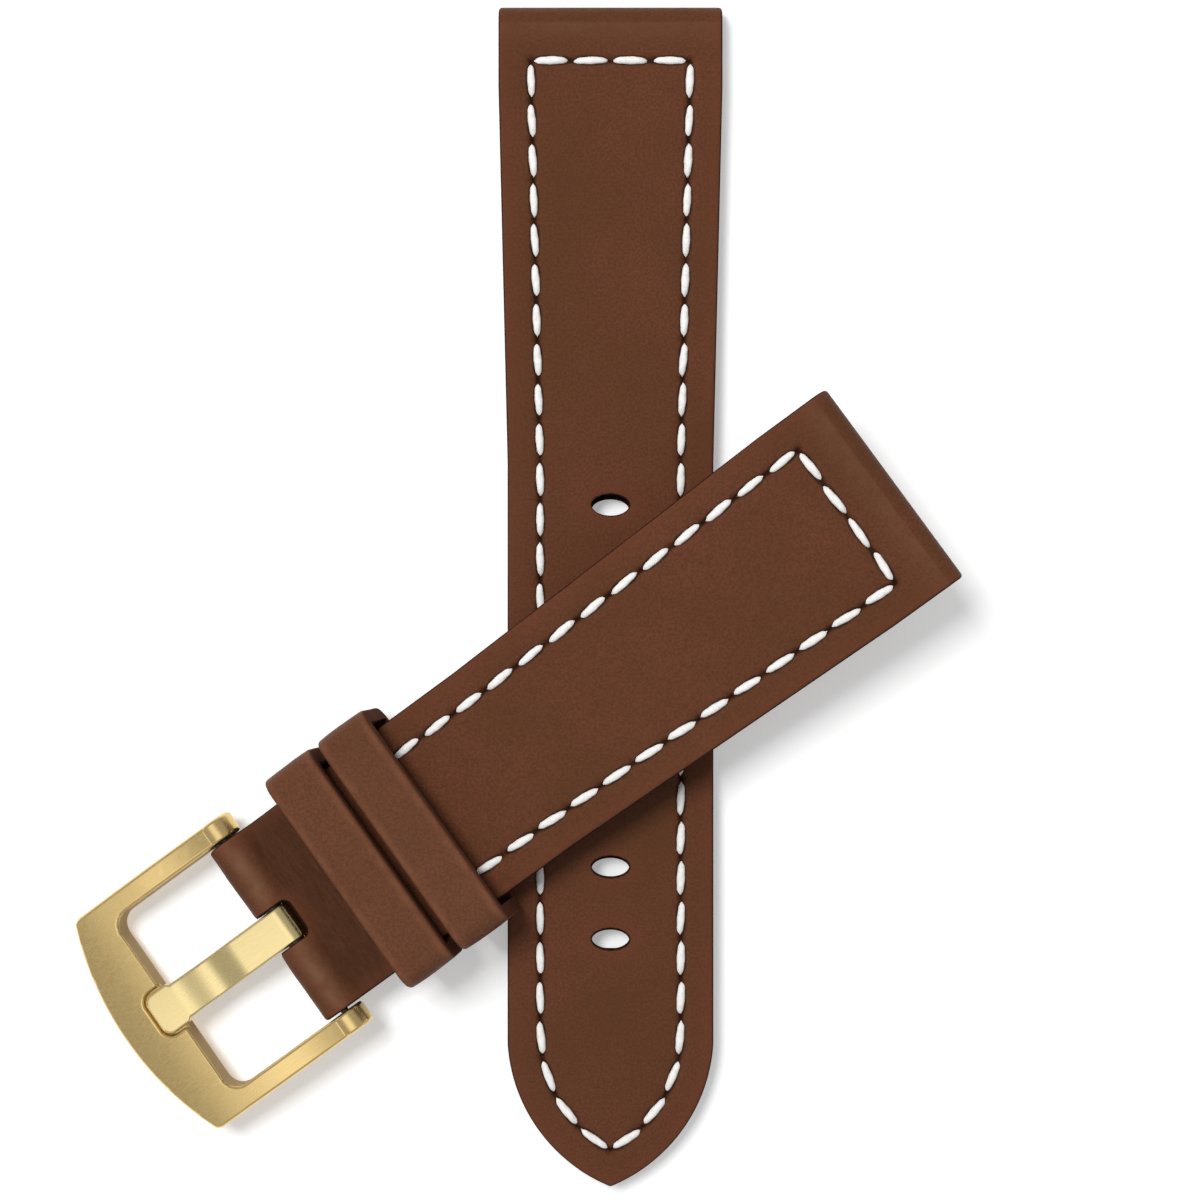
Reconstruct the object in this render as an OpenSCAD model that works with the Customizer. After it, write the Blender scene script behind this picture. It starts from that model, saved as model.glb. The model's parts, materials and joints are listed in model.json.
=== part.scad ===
// Two-piece leather watch strap with a tang buckle.
// The origin is the middle of the spring bar channel in the long half's lug end.
// The long half lies flat along -Y, and the short half crosses over it.

/* [Strap] */
// Width at the watch's lugs
lug_w = 22; // [18:0.5:26]
// Width where the taper has ended, at the tip and at the buckle
buckle_w = 20.2; // [14:0.1:21]
// Length of the long half, from lug end to tip
long_len = 116; // [110:0.5:130]
// Length of the short half, from lug end to the fold at the buckle
short_len = 75; // [74:0.5:90]
// Stretch behind each lug end that keeps the full width
parallel_len = 8; // [4:0.5:14]
// Distance from the lug end to where the taper ends
taper_end = 45; // [35:1:50]
// Length of the pointed tip
tip_len = 15; // [11:0.5:18]

/* [Leather layers] */
// Thickness of the upper leather
top_t = 1.2; // [1:0.1:1.6]
// Thickness of the stiffener
filler_t = 1; // [0.6:0.1:1.4]
// Thickness of the lining leather
lining_t = 1; // [0.8:0.1:1.4]
// Length of the flap that is turned under at the lug end
flap_len = 11; // [9:0.5:15]
// Leather left behind a spring bar channel before the stiffener starts
channel_back = 1; // [0.6:0.1:2]
// Length of the flap that comes back from the buckle under the stiffener
tail_flap = 7; // [3:0.5:10]
// Distance from the stiffener's end to the fixed keeper
filler_to_keeper = 2; // [1:0.5:4]

/* [Adjustment holes] */
// Number of holes for the tongue
hole_count = 7; // [3:1:8]
// Distance from one hole to the next
hole_pitch = 7.1; // [5:0.1:8]
// Distance from the tip to the nearest hole
hole_from_tip = 24.3; // [20:0.1:30]
// Hole size across the strap
hole_long = 3.8; // [2.6:0.1:4.4]
// Hole size along the strap
hole_short = 2.3; // [1.6:0.1:2.5]

/* [Stitching] */
// Distance from the edge to the row of stitches
stitch_inset = 3.2; // [2.4:0.1:3.6]
// Distance from the lug end to the cross row
stitch_start = 5.5; // [4.8:0.1:8]
// Wanted length of one stitch with its gap
stitch_pitch = 3.9; // [3:0.1:5]
// Bare gap between two stitches
stitch_gap = 0.4; // [0.3:0.05:0.6]
// Radius of the needle thread
thread_r = 0.42; // [0.3:0.02:0.5]
// Radius of the bobbin thread
under_thread_r = 0.25; // [0.2:0.01:0.3]
// Room between a thread and its groove
groove_gap = 0.05; // [0.03:0.01:0.1]
// Length of the slit that the needle leaves
slit_len = 1; // [0.9:0.05:1.2]
// Width of the slit
slit_w = 0.55; // [0.5:0.05:0.7]

/* [Spring bars] */
// Radius of every spring bar channel
channel_r = 1; // [0.95:0.01:1.05]
// Radius of the buckle's spring bar
bar_r = 0.9; // [0.8:0.01:0.93]
// Wall of the bar's tube
bar_wall = 0.3; // [0.2:0.01:0.35]
// Radius of the tips' pins
pin_r = 0.4; // [0.3:0.01:0.42]
// How far a pin reaches into the buckle's arm
pin_reach = 0.8; // [0.6:0.05:1]
// Length of the piston behind each pin
piston_len = 5; // [4:0.5:6]
// Running room round pins and pistons
running_gap = 0.05; // [0.03:0.01:0.08]
// Gap between the tube's end and the buckle's arm
tube_gap = 0.4; // [0.3:0.05:0.6]
// Thickness of the tube's closed end
tube_end_t = 0.4; // [0.3:0.05:0.6]
// Radius of the spring's wire
spring_wire_r = 0.08; // [0.06:0.01:0.1]
// Distance from one turn of the spring to the next
spring_pitch = 0.6; // [0.6:0.05:0.9]

/* [Tail] */
// Leather round the buckle's spring bar
tail_leather = 1; // [0.7:0.05:1.2]
// How much narrower each side of the tail is than the strap
tail_relief = 0.1; // [0:0.05:0.3]
// How far the tail's upper face dips behind the fold
tail_dip = 0.5; // [0.2:0.05:0.8]
// Width of the slot for the tongue
slot_w = 4.4; // [4.2:0.1:5.4]
// Distance from the spring bar's axis to the end of the slot
slot_back = 2.2; // [2.1:0.05:3]
// Distance from the fixed keeper to where the upper face starts to dip
dip_from_keeper = 0.4; // [0.2:0.1:1]
// Angle round the fold, from its top, where the leather has risen onto it
fold_rise = 25; // [20:1:30]

/* [Keepers] */
// Width of each keeper's strip
keeper_w = 5.5; // [4:0.1:7]
// Thickness of the keepers' leather
keeper_t = 1.1; // [0.9:0.05:1.2]
// Room at each side, between the keepers and the strap
keeper_side_gap = 0.9; // [0.9:0.05:1.2]
// Room left over the strap and the long half's tip together
keeper_top_gap = 0.3; // [0.2:0.05:0.6]
// Room under the strap inside the free keeper
keeper_under_gap = 0.15; // [0.1:0.01:0.2]
// Outer radius of the keepers' corners
keeper_corner = 1.6; // [1.3:0.1:2]
// Distance from the buckle's spring bar to the fixed keeper
keeper_from_bar = 7.7; // [6:0.1:10]
// Distance from the fixed keeper to the free keeper
keeper_spacing = 0.9; // [0.6:0.1:3]
// Length of the two stitches that close the free keeper
seam_len = 4; // [3:0.5:6]

/* [Buckle] */
// Room between the tail and each arm
arm_side_gap = 0.2; // [0.15:0.05:0.4]
// Width of each arm
arm_w = 2.2; // [1.9:0.1:2.8]
// Distance from the spring bar's axis to the arm's round end
arm_back = 1.9; // [1.7:0.05:2.4]
// Distance from the spring bar's axis to the front bar's inner side
window_len = 13.4; // [12:0.1:16]
// Width of the front bar in the middle
front_bar_w = 6; // [5:0.1:7]
// Radius of the front bar's bowed outer side
front_bow_r = 30; // [25:1:50]
// Radius of the outer front corners
frame_corner = 1.5; // [1:0.1:2]
// Radius of the inner front corners
window_corner = 1.7; // [1:0.1:2.5]
// Height of the frame's metal
frame_h = 3; // [2.6:0.1:3.4]
// Radius of the frame's arch, seen from the side
frame_arch_r = 70; // [50:5:120]
// Depth of the notch for the tongue's pad
notch_depth = 0.9; // [0.7:0.05:1.2]
// Room round the pad in its notch
notch_gap = 0.2; // [0.15:0.05:0.3]

/* [Tongue] */
// Width of the tongue's strip
tongue_w = 3.8; // [3:0.1:3.9]
// Thickness of the strip
tongue_t = 0.6; // [0.5:0.05:0.7]
// Running room between the curl and the spring bar
curl_gap = 0.08; // [0.05:0.01:0.1]
// How far the strip dips on its way to the pad
tongue_dip = 0.5; // [0.2:0.05:0.8]
// Width of the pad at the tip
pad_w = 4.4; // [4.2:0.1:5.4]
// Length of the pad
pad_len = 3; // [2.8:0.1:3.4]
// How far the pad lies over the front bar
pad_over = 2.1; // [1.5:0.1:2.4]
// Radius of the pad's corners
pad_corner = 1; // [0.6:0.1:1.2]

/* [How the halves lie] */
// Angle between the short half and the X axis
cross_angle = 36; // [20:1:60]
// Distance down the long half to the crossing, along its left edge
cross_long = 74.5; // [50:0.5:90]
// Distance down the short half to the crossing, along its middle
cross_short = 46.3; // [40:0.1:50]
// Height of the short half above the long half at the crossing
cross_lift = 1.6; // [1.6:0.1:3]

/* [Hidden] */
$fn = 64;
eps = 0.01;
thickness = top_t + filler_t + lining_t;
mid_z = thickness / 2;
lug_fold_r = thickness / 2;
filler_z = lining_t;
top_z = lining_t + filler_t;
filler_start = lug_fold_r + channel_r + channel_back;

tail_fold_r = channel_r + tail_leather;
bar_x = short_len - tail_fold_r;
bar_z = tail_fold_r;
keeper_fixed_x = bar_x - keeper_from_bar - keeper_w;
keeper_free_x = keeper_fixed_x - keeper_spacing - keeper_w;
filler_end = keeper_fixed_x - filler_to_keeper;
lining_end = filler_end - tail_flap;
tail_w = buckle_w - 2 * tail_relief;

full_side = [[0, lug_w / 2], [parallel_len, lug_w / 2], [taper_end, buckle_w / 2]];
tip_start = long_len - tip_len;
// the tip's arcs start this much outside the straight sides, so they cross them at an angle
tip_proud = 0.03;
tip_h = buckle_w / 2 + tip_proud;
tip_r = (tip_len * tip_len + tip_h * tip_h) / (2 * tip_h);
tip_drop = tip_r - tip_h;

keeper_inner_w = buckle_w + 2 * keeper_side_gap;
keeper_outer_w = keeper_inner_w + 2 * keeper_t;
keeper_high = 2 * thickness + keeper_top_gap + keeper_t;
keeper_low = -keeper_under_gap - keeper_t;
leg_r = slit_w / 2 - groove_gap;
// shares of a stitch: the length of its full middle, and the radius where its cones start and end
stitch_body = 0.4;
cone_start = 0.95;
cone_end = 0.3;

frame_inner_w = tail_w + 2 * arm_side_gap;
frame_outer_w = frame_inner_w + 2 * arm_w;
frame_len = window_len + front_bar_w;
// how far the round corners stand past the bow before they are cut to it
corner_proud = 0.1;
arch_u = frame_len / 2 - arm_back / 2;
arch_mid_r = frame_arch_r - frame_h / 2;
arch_z = bar_z - sqrt(arch_mid_r * arch_mid_r - arch_u * arch_u);
pad_end = window_len + pad_over;
pad_top = frame_z(window_len, frame_arch_r);
pad_floor = pad_top - notch_depth;
curl_in_r = bar_r + curl_gap;
curl_r = curl_in_r + tongue_t;
// shares of the way to the pad: where the strip leaves its level, is lowest and has risen
strip_level = 0.42;
strip_low = 0.65;
strip_risen = 0.88;
strip_rise = 0.7 * tongue_dip;

tube_half = frame_inner_w / 2 - tube_gap;
pin_end = frame_inner_w / 2 + pin_reach;
piston_r = bar_r - bar_wall - running_gap;
piston_out = tube_half - tube_end_t - running_gap;
piston_in = piston_out - piston_len;

cross_x = -half_w(cross_long);
cross_y = lug_fold_r - cross_long;
// the frame's lowest point, where it rests beside the long half
corner_u = frame_len - 1.4 * frame_corner;
corner_d = (bar_x + corner_u - cross_short) * cos(cross_angle)
    + (frame_outer_w / 2 - frame_corner) * sin(cross_angle) + frame_corner;
corner_z = frame_z(corner_u, frame_arch_r - frame_h);
cross_tilt = asin((thickness + cross_lift + corner_z) / corner_d);

// half width of the strap at a distance from the lug end
function half_w(x) =
    x < parallel_len ? lug_w / 2 :
    x > taper_end ? buckle_w / 2 :
    lug_w / 2 - (lug_w - buckle_w) / 2 * (x - parallel_len) / (taper_end - parallel_len);

// height of one of the frame's arched faces at a distance from the spring bar
function frame_z(u, r) = arch_z + sqrt(r * r - (u - arch_u) * (u - arch_u));

// a row of stitches: straight beside the edge, then round the tip to the middle
row_r = tip_r - stitch_inset;
row_sweep = acos(tip_drop / row_r);
row_straight = tip_start - stitch_start;
long_row_len = row_straight + row_r * row_sweep * PI / 180;
long_count = round(long_row_len / stitch_pitch);
function long_row(d) =
    let (x = stitch_start + d, a = (d - row_straight) / row_r * 180 / PI)
    d <= row_straight ? [x, half_w(x) - stitch_inset] :
    [tip_start + row_r * sin(a), row_r * cos(a) - tip_drop];
long_side = [for (i = [0 : long_count]) long_row(i * long_row_len / long_count)];

short_row_len = keeper_free_x + keeper_w / 4 - stitch_start;
short_count = round(short_row_len / stitch_pitch);
short_side = [
    for (i = [0 : short_count])
    let (x = stitch_start + i * short_row_len / short_count)
    [x, half_w(x) - stitch_inset]
];

cross_half = half_w(stitch_start) - stitch_inset;
cross_count = round(2 * cross_half / stitch_pitch);
cross_row = [
    for (i = [0 : cross_count])
    [stitch_start, cross_half * (2 * i / cross_count - 1)]
];
function mirrored(row) = [for (p = row) [p[0], -p[1]]];
long_rows = [long_side, mirrored(long_side), cross_row];
short_rows = [short_side, mirrored(short_side), cross_row];

// direction of a row at its point i, and the outline of a ribbon along it
function along(row, i) =
    let (a = row[max(i - 1, 0)], b = row[min(i + 1, len(row) - 1)])
    (b - a) / norm(b - a);
function beside(row, i, w) = row[i] + w * [-along(row, i)[1], along(row, i)[0]];
function ribbon(row, w) = concat(
    [for (i = [0 : len(row) - 1]) beside(row, i, w / 2)],
    [for (i = [len(row) - 1 : -1 : 0]) beside(row, i, -w / 2)]
);

// Where the pieces lie: x runs down a half from its lug end, and z up from its underside

module on_long() {
    translate([0, lug_fold_r, -mid_z])
        rotate([0, 0, -90])
            children();
}

module on_short() {
    translate([cross_x, cross_y, mid_z + cross_lift])
        rotate([0, -cross_tilt, 0])
            rotate([0, 0, 180 + cross_angle])
                translate([-cross_short, 0, 0])
                    children();
}

module on_bar() {
    on_short()
        translate([bar_x, 0, bar_z])
            rotate([-90, 0, 0])
                children();
}

// a side profile drawn in x and z, given a width across the strap
module across(w) {
    rotate([90, 0, 0])
        linear_extrude(w, center = true)
            children();
}

// Outlines seen from above

module both_sides(side) {
    polygon(concat(side, [for (i = [len(side) - 1 : -1 : 0]) [side[i][0], -side[i][1]]]));
}

module long_outline() {
    intersection() {
        both_sides(concat(full_side, [[long_len + 1, buckle_w / 2]]));
        tip_side(-tip_drop);
        tip_side(tip_drop);
    }
}

module tip_side(y) {
    translate([tip_start, y])
        circle(tip_r, $fn = 180);
    translate([-1, -lug_w])
        square([tip_start + 1, 2 * lug_w]);
}

module short_outline() {
    both_sides(concat(full_side, [
        [filler_end, buckle_w / 2], [filler_end, tail_w / 2], [short_len, tail_w / 2]
    ]));
}

module rounded(w, h, r) {
    square([w - 2 * r, h], center = true);
    square([w, h - 2 * r], center = true);
    for (sx = [-1, 1], sy = [-1, 1])
        translate([sx * (w / 2 - r), sy * (h / 2 - r)])
            circle(r);
}

module adjustment_holes() {
    for (i = [0 : hole_count - 1])
        translate([long_len - hole_from_tip - i * hole_pitch, 0, -1])
            linear_extrude(thickness + 2)
                rounded(hole_short, hole_long, hole_short / 2 - eps);
}

// Stitching

module grooves(rows, w) {
    for (row = rows)
        polygon(ribbon(row, w));
    for (row = rows)
        translate(row[0])
            square(w, center = true);
}

module slits(row) {
    for (i = [0 : len(row) - 1])
        translate([row[i][0], row[i][1], -1])
            rotate([0, 0, atan2(along(row, i)[1], along(row, i)[0])])
                linear_extrude(thickness + 2)
                    square([slit_len, slit_w], center = true);
}

module sewing_cuts(rows) {
    translate([0, 0, thickness - thread_r - groove_gap])
        linear_extrude(thread_r + 1)
            grooves(rows, 2 * (thread_r + groove_gap));
    translate([0, 0, -1])
        linear_extrude(1 + 2 * (under_thread_r + groove_gap))
            grooves(rows, 2 * (under_thread_r + groove_gap));
    for (row = rows)
        slits(row);
}

// a round middle with a cone at each end, set a little into it
module spindle(len, r) {
    body = len * stitch_body;
    cylinder(r = r, h = body, center = true, $fn = 24);
    for (s = [0, 1])
        mirror([0, 0, s])
            translate([0, 0, body / 4])
                cylinder(r1 = r * cone_start, r2 = r * cone_end, h = len / 2 - body / 4, $fn = 24);
}

// one stitch between two slits: a spindle and the leg that goes through the leather
module stitch(p, q, r, z, leg_end, leg_at) {
    run = q - p;
    translate([(p[0] + q[0]) / 2, (p[1] + q[1]) / 2, z])
        rotate([0, 0, atan2(run[1], run[0])]) {
            rotate([0, 90, 0])
                spindle(norm(run) - stitch_gap, r);
            translate([leg_at * (norm(run) / 2 - slit_len / 3), 0, min(0, leg_end - z)])
                cylinder(r = leg_r, h = abs(leg_end - z), $fn = 24);
        }
}

module top_stitches(rows) {
    for (row = rows, i = [0 : len(row) - 2])
        stitch(row[i], row[i + 1], thread_r, thickness, mid_z + groove_gap, -1);
}

module under_stitches(rows) {
    z = under_thread_r + groove_gap;
    for (row = rows, i = [0 : len(row) - 2])
        stitch(row[i], row[i + 1], under_thread_r, z, mid_z - groove_gap, 1);
}

// Long half

module lug_fold() {
    intersection() {
        translate([lug_fold_r, mid_z])
            circle(lug_fold_r);
        square([lug_fold_r + eps, thickness]);
    }
}

module long_top_leather() {
    color("#5f3b29")
        on_long()
            difference() {
                intersection() {
                    linear_extrude(thickness)
                        long_outline();
                    across(lug_w + 2)
                        difference() {
                            union() {
                                lug_fold();
                                translate([lug_fold_r, 0])
                                    square([flap_len - lug_fold_r, thickness]);
                                translate([lug_fold_r, top_z])
                                    square([long_len, top_t]);
                            }
                            translate([filler_start, filler_z])
                                square([long_len, filler_t]);
                            translate([lug_fold_r, mid_z])
                                circle(channel_r);
                        }
                }
                adjustment_holes();
                sewing_cuts(long_rows);
            }
}

module long_layer(x, z, t) {
    difference() {
        intersection() {
            linear_extrude(thickness)
                long_outline();
            translate([x, -lug_w, z])
                cube([long_len, 2 * lug_w, t]);
        }
        adjustment_holes();
        sewing_cuts(long_rows);
    }
}

module long_filler() {
    color("#3c2a20")
        on_long()
            long_layer(filler_start, filler_z, filler_t);
}

module long_lining() {
    color("#6b4432")
        on_long()
            long_layer(flap_len, 0, lining_t);
}

module long_top_thread() {
    color("#f4efe6")
        on_long()
            top_stitches(long_rows);
}

module long_under_thread() {
    color("#e8e0d4")
        on_long()
            under_stitches(long_rows);
}

// Short half

module tail_profile() {
    dip_x = keeper_fixed_x + keeper_w + dip_from_keeper;
    polygon([
        [lining_end, 0],
        [bar_x, 0],
        [bar_x, bar_z],
        [bar_x - tail_fold_r * sin(fold_rise), bar_z + tail_fold_r * cos(fold_rise)],
        [(dip_x + bar_x) / 2, thickness - tail_dip],
        [dip_x, thickness],
        [lining_end, thickness]
    ]);
    translate([bar_x, bar_z])
        circle(tail_fold_r);
}

module short_top_leather() {
    color("#5a3725")
        on_short()
            difference() {
                intersection() {
                    linear_extrude(thickness + 2 * tail_fold_r)
                        short_outline();
                    across(lug_w + 2)
                        difference() {
                            union() {
                                lug_fold();
                                translate([lug_fold_r, 0])
                                    square([flap_len - lug_fold_r, thickness]);
                                translate([lug_fold_r, top_z])
                                    square([lining_end, top_t]);
                                tail_profile();
                            }
                            translate([filler_start, filler_z])
                                square([filler_end - filler_start, filler_t]);
                            translate([keeper_fixed_x, filler_z])
                                square([keeper_w, keeper_t]);
                            translate([lug_fold_r, mid_z])
                                circle(channel_r);
                            translate([bar_x, bar_z])
                                circle(channel_r);
                        }
                }
                tongue_slot();
                sewing_cuts(short_rows);
            }
}

module tongue_slot() {
    translate([bar_x - slot_back, -slot_w / 2, -1])
        cube([slot_back + tail_fold_r + 1, slot_w, thickness + 2 * tail_fold_r]);
}

module short_layer(x, x_end, z, t) {
    difference() {
        intersection() {
            linear_extrude(thickness)
                short_outline();
            translate([x, -lug_w, z])
                cube([x_end - x, 2 * lug_w, t]);
        }
        sewing_cuts(short_rows);
    }
}

module short_filler() {
    color("#3c2a20")
        on_short()
            short_layer(filler_start, filler_end, filler_z, filler_t);
}

module short_lining() {
    color("#6b4432")
        on_short()
            short_layer(flap_len, lining_end, 0, lining_t);
}

module short_top_thread() {
    color("#f4efe6")
        on_short()
            top_stitches(short_rows);
}

module short_under_thread() {
    color("#e8e0d4")
        on_short()
            under_stitches(short_rows);
}

// Keepers

module keeper_loop(x, low) {
    inner_h = keeper_high - low - 2 * keeper_t;
    translate([x, 0, (keeper_high + low) / 2])
        rotate([90, 0, 90])
            linear_extrude(keeper_w)
                difference() {
                    rounded(keeper_outer_w, keeper_high - low, keeper_corner);
                    rounded(keeper_inner_w, inner_h, keeper_corner - keeper_t);
                }
}

module fixed_keeper() {
    color("#6b4030")
        on_short()
            keeper_loop(keeper_fixed_x, filler_z);
}

module free_keeper() {
    color("#6b4030")
        on_short()
            difference() {
                keeper_loop(keeper_free_x, keeper_low);
                for (s = [-1, 1])
                    translate([keeper_free_x + keeper_w * (2 + s) / 4, 0, keeper_low])
                        cube([2 * (under_thread_r + groove_gap), seam_len + 2 * groove_gap,
                            4 * (under_thread_r + groove_gap)], center = true);
            }
}

module free_keeper_thread() {
    color("#e8e0d4")
        on_short()
            for (s = [-1, 1])
                translate([keeper_free_x + keeper_w * (2 + s) / 4, 0,
                    keeper_low + under_thread_r + groove_gap])
                    rotate([90, 0, 0])
                        spindle(seam_len, under_thread_r);
}

// Buckle: u runs forward from the spring bar's axis, with the strap's underside as z = 0

module on_frame() {
    on_short()
        translate([bar_x, 0, 0])
            children();
}

module frame_outline() {
    v_c = frame_outer_w / 2 - frame_corner;
    bow_u = frame_len - front_bow_r;
    u_c = bow_u + sqrt(front_bow_r * front_bow_r - v_c * v_c) + corner_proud - frame_corner;
    intersection() {
        translate([bow_u, 0])
            circle(front_bow_r, $fn = 180);
        union() {
            translate([-arm_back - 1, -v_c])
                square([frame_len + arm_back + 2, 2 * v_c]);
            translate([-arm_back - 1, -frame_outer_w / 2])
                square([u_c + arm_back + 1, frame_outer_w]);
            for (s = [-1, 1])
                translate([u_c, s * v_c])
                    circle(frame_corner);
        }
    }
}

module window_outline() {
    translate([-arm_back - 2, -frame_inner_w / 2])
        square([window_len - window_corner + arm_back + 2, frame_inner_w]);
    translate([0, window_corner - frame_inner_w / 2])
        square([window_len, frame_inner_w - 2 * window_corner]);
    for (s = [-1, 1])
        translate([window_len - window_corner, s * (frame_inner_w / 2 - window_corner)])
            circle(window_corner);
}

module frame_profile() {
    intersection() {
        difference() {
            translate([arch_u, arch_z])
                circle(frame_arch_r, $fn = 360);
            translate([arch_u, arch_z])
                circle(frame_arch_r - frame_h, $fn = 360);
        }
        square([frame_len + 1, 2 * bar_z + frame_h]);
    }
    translate([0, bar_z])
        circle(arm_back);
}

// the pad's outline, with some room added all round
module pad_outline(room) {
    translate([window_len - pad_len, -pad_w / 2 - room])
        square([pad_len + pad_over - pad_corner, pad_w + 2 * room]);
    translate([window_len - pad_len, pad_corner - pad_w / 2])
        square([pad_len + pad_over + room, pad_w - 2 * pad_corner]);
    for (s = [-1, 1])
        translate([pad_end - pad_corner, s * (pad_w / 2 - pad_corner)])
            circle(pad_corner + room);
}

module buckle_frame() {
    color("#d2b878")
        on_frame()
            difference() {
                intersection() {
                    translate([0, 0, -frame_h])
                        linear_extrude(4 * frame_h)
                            difference() {
                                frame_outline();
                                window_outline();
                            }
                    across(frame_outer_w + 2)
                        frame_profile();
                }
                translate([0, 0, pad_floor])
                    linear_extrude(frame_h)
                        pad_outline(notch_gap);
                translate([0, 0, bar_z])
                    rotate([90, 0, 0])
                        cylinder(r = pin_r + running_gap, h = 2 * (pin_end + running_gap), center = true);
            }
}

module buckle_tongue() {
    low = curl_r + bar_z - tongue_dip;
    color("#dcc684")
        on_frame() {
            difference() {
                union() {
                    across(tongue_w)
                        tongue_profile(low);
                    translate([0, 0, pad_floor])
                        linear_extrude(notch_depth)
                            intersection() {
                                pad_outline(0);
                                translate([pad_end - pad_len, -pad_w])
                                    square([pad_len, 2 * pad_w]);
                            }
                }
                across(tongue_w + 2)
                    translate([0, bar_z])
                        circle(curl_in_r);
            }
        }
}

module tongue_profile(low) {
    top = bar_z + curl_r;
    pad_start = pad_end - pad_len;
    translate([0, bar_z])
        circle(curl_r);
    polygon([
        [0, top],
        [pad_start * strip_level, top],
        [pad_start * strip_low, low],
        [pad_start * strip_risen, low + strip_rise],
        [pad_start + eps, pad_top],
        [pad_start + eps, pad_floor],
        [pad_start * strip_risen, low + strip_rise - tongue_t],
        [pad_start * strip_low, low - tongue_t],
        [pad_start * strip_level, top - tongue_t],
        [0, top - tongue_t]
    ]);
}

// Spring bar: z runs along its axis

module spring_bar_tube() {
    color("#b8b8ba")
        on_bar()
            difference() {
                cylinder(r = bar_r, h = 2 * tube_half, center = true);
                cylinder(r = bar_r - bar_wall, h = 2 * (tube_half - tube_end_t), center = true);
                cylinder(r = pin_r + running_gap, h = 2 * tube_half + 2, center = true);
            }
}

module spring_bar_tip() {
    translate([0, 0, piston_in])
        cylinder(r = piston_r, h = piston_len);
    translate([0, 0, piston_in])
        cylinder(r = pin_r, h = pin_end - piston_in);
}

module spring_bar_tip_left() {
    color("#c8c8ca")
        on_bar()
            spring_bar_tip();
}

module spring_bar_tip_right() {
    color("#c8c8ca")
        on_bar()
            mirror([0, 0, 1])
                spring_bar_tip();
}

// the spring's wire, swept round a helix between the two pistons
spring_r = piston_r - spring_wire_r - running_gap;
spring_half = piston_in - spring_wire_r - running_gap;
spring_turns = floor(2 * spring_half / spring_pitch);
spring_steps = 8;
spring_sides = 6;
function spring_ring(k) =
    let (
        a = 360 * k / spring_steps,
        rise = 2 * spring_half / spring_turns,
        lean = atan(rise / (2 * PI * spring_r))
    )
    [
        for (j = [0 : spring_sides - 1])
        let (
            b = 360 * j / spring_sides,
            out = spring_wire_r * cos(b),
            up = spring_wire_r * sin(b)
        )
        [
            (spring_r + out) * cos(a) + up * sin(lean) * sin(a),
            (spring_r + out) * sin(a) - up * sin(lean) * cos(a),
            rise * k / spring_steps - spring_half + up * cos(lean)
        ]
    ];

module spring_bar_spring() {
    rings = spring_turns * spring_steps;
    n = spring_sides;
    points = [for (k = [0 : rings], p = spring_ring(k)) p];
    walls = [
        for (k = [0 : rings - 1], j = [0 : n - 1])
        let (a = k * n + j, b = k * n + (j + 1) % n)
        each [[a, b, b + n], [a, b + n, a + n]]
    ];
    caps = [
        for (j = [1 : n - 2])
        each [[0, j + 1, j], [rings * n, rings * n + j, rings * n + j + 1]]
    ];
    color("#9a9a9c")
        on_bar()
            polyhedron(points, concat(walls, caps));
}

long_top_leather();
long_filler();
long_lining();
long_top_thread();
long_under_thread();
short_top_leather();
short_filler();
short_lining();
short_top_thread();
short_under_thread();
fixed_keeper();
free_keeper();
free_keeper_thread();
buckle_frame();
buckle_tongue();
spring_bar_tube();
spring_bar_tip_left();
spring_bar_tip_right();
spring_bar_spring();
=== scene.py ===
import json
import math
import random
import bpy
from mathutils import Matrix, Vector, noise


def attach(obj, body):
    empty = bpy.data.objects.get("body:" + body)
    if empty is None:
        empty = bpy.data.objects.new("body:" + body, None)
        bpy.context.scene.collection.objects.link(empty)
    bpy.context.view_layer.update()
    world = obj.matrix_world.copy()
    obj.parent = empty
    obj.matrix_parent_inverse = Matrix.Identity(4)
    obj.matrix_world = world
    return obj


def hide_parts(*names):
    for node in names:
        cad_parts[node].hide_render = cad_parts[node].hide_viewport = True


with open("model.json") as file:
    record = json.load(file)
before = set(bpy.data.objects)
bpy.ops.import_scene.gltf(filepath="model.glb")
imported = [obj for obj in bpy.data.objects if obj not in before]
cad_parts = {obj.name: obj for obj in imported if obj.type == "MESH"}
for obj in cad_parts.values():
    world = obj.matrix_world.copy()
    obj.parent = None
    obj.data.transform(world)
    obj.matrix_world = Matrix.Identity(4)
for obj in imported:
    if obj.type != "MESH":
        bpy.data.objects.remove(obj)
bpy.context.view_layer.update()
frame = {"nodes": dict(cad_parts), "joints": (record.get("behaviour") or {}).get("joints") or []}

MM = 0.001

# Sizes of the leather in millimetres, as in the part's source
LUG_W = 22.0
BUCKLE_W = 20.2
LONG_LEN = 116.0
PARALLEL_LEN = 8.0
TAPER_END = 45.0
TIP_LEN = 15.0
TOP_T = 1.2
FILLER_T = 1.0
LINING_T = 1.0
THICK = TOP_T + FILLER_T + LINING_T
FOLD_R = THICK / 2
CHANNEL_R = 1.0
CHANNEL_WALL = FOLD_R - CHANNEL_R
FLAP_LEN = 11.0
BEND_U = FLAP_LEN - FOLD_R
TIP_START = LONG_LEN - TIP_LEN
TIP_H = BUCKLE_W / 2 + 0.03
TIP_R = (TIP_LEN ** 2 + TIP_H ** 2) / (2 * TIP_H)
TIP_DROP = TIP_R - TIP_H

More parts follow.
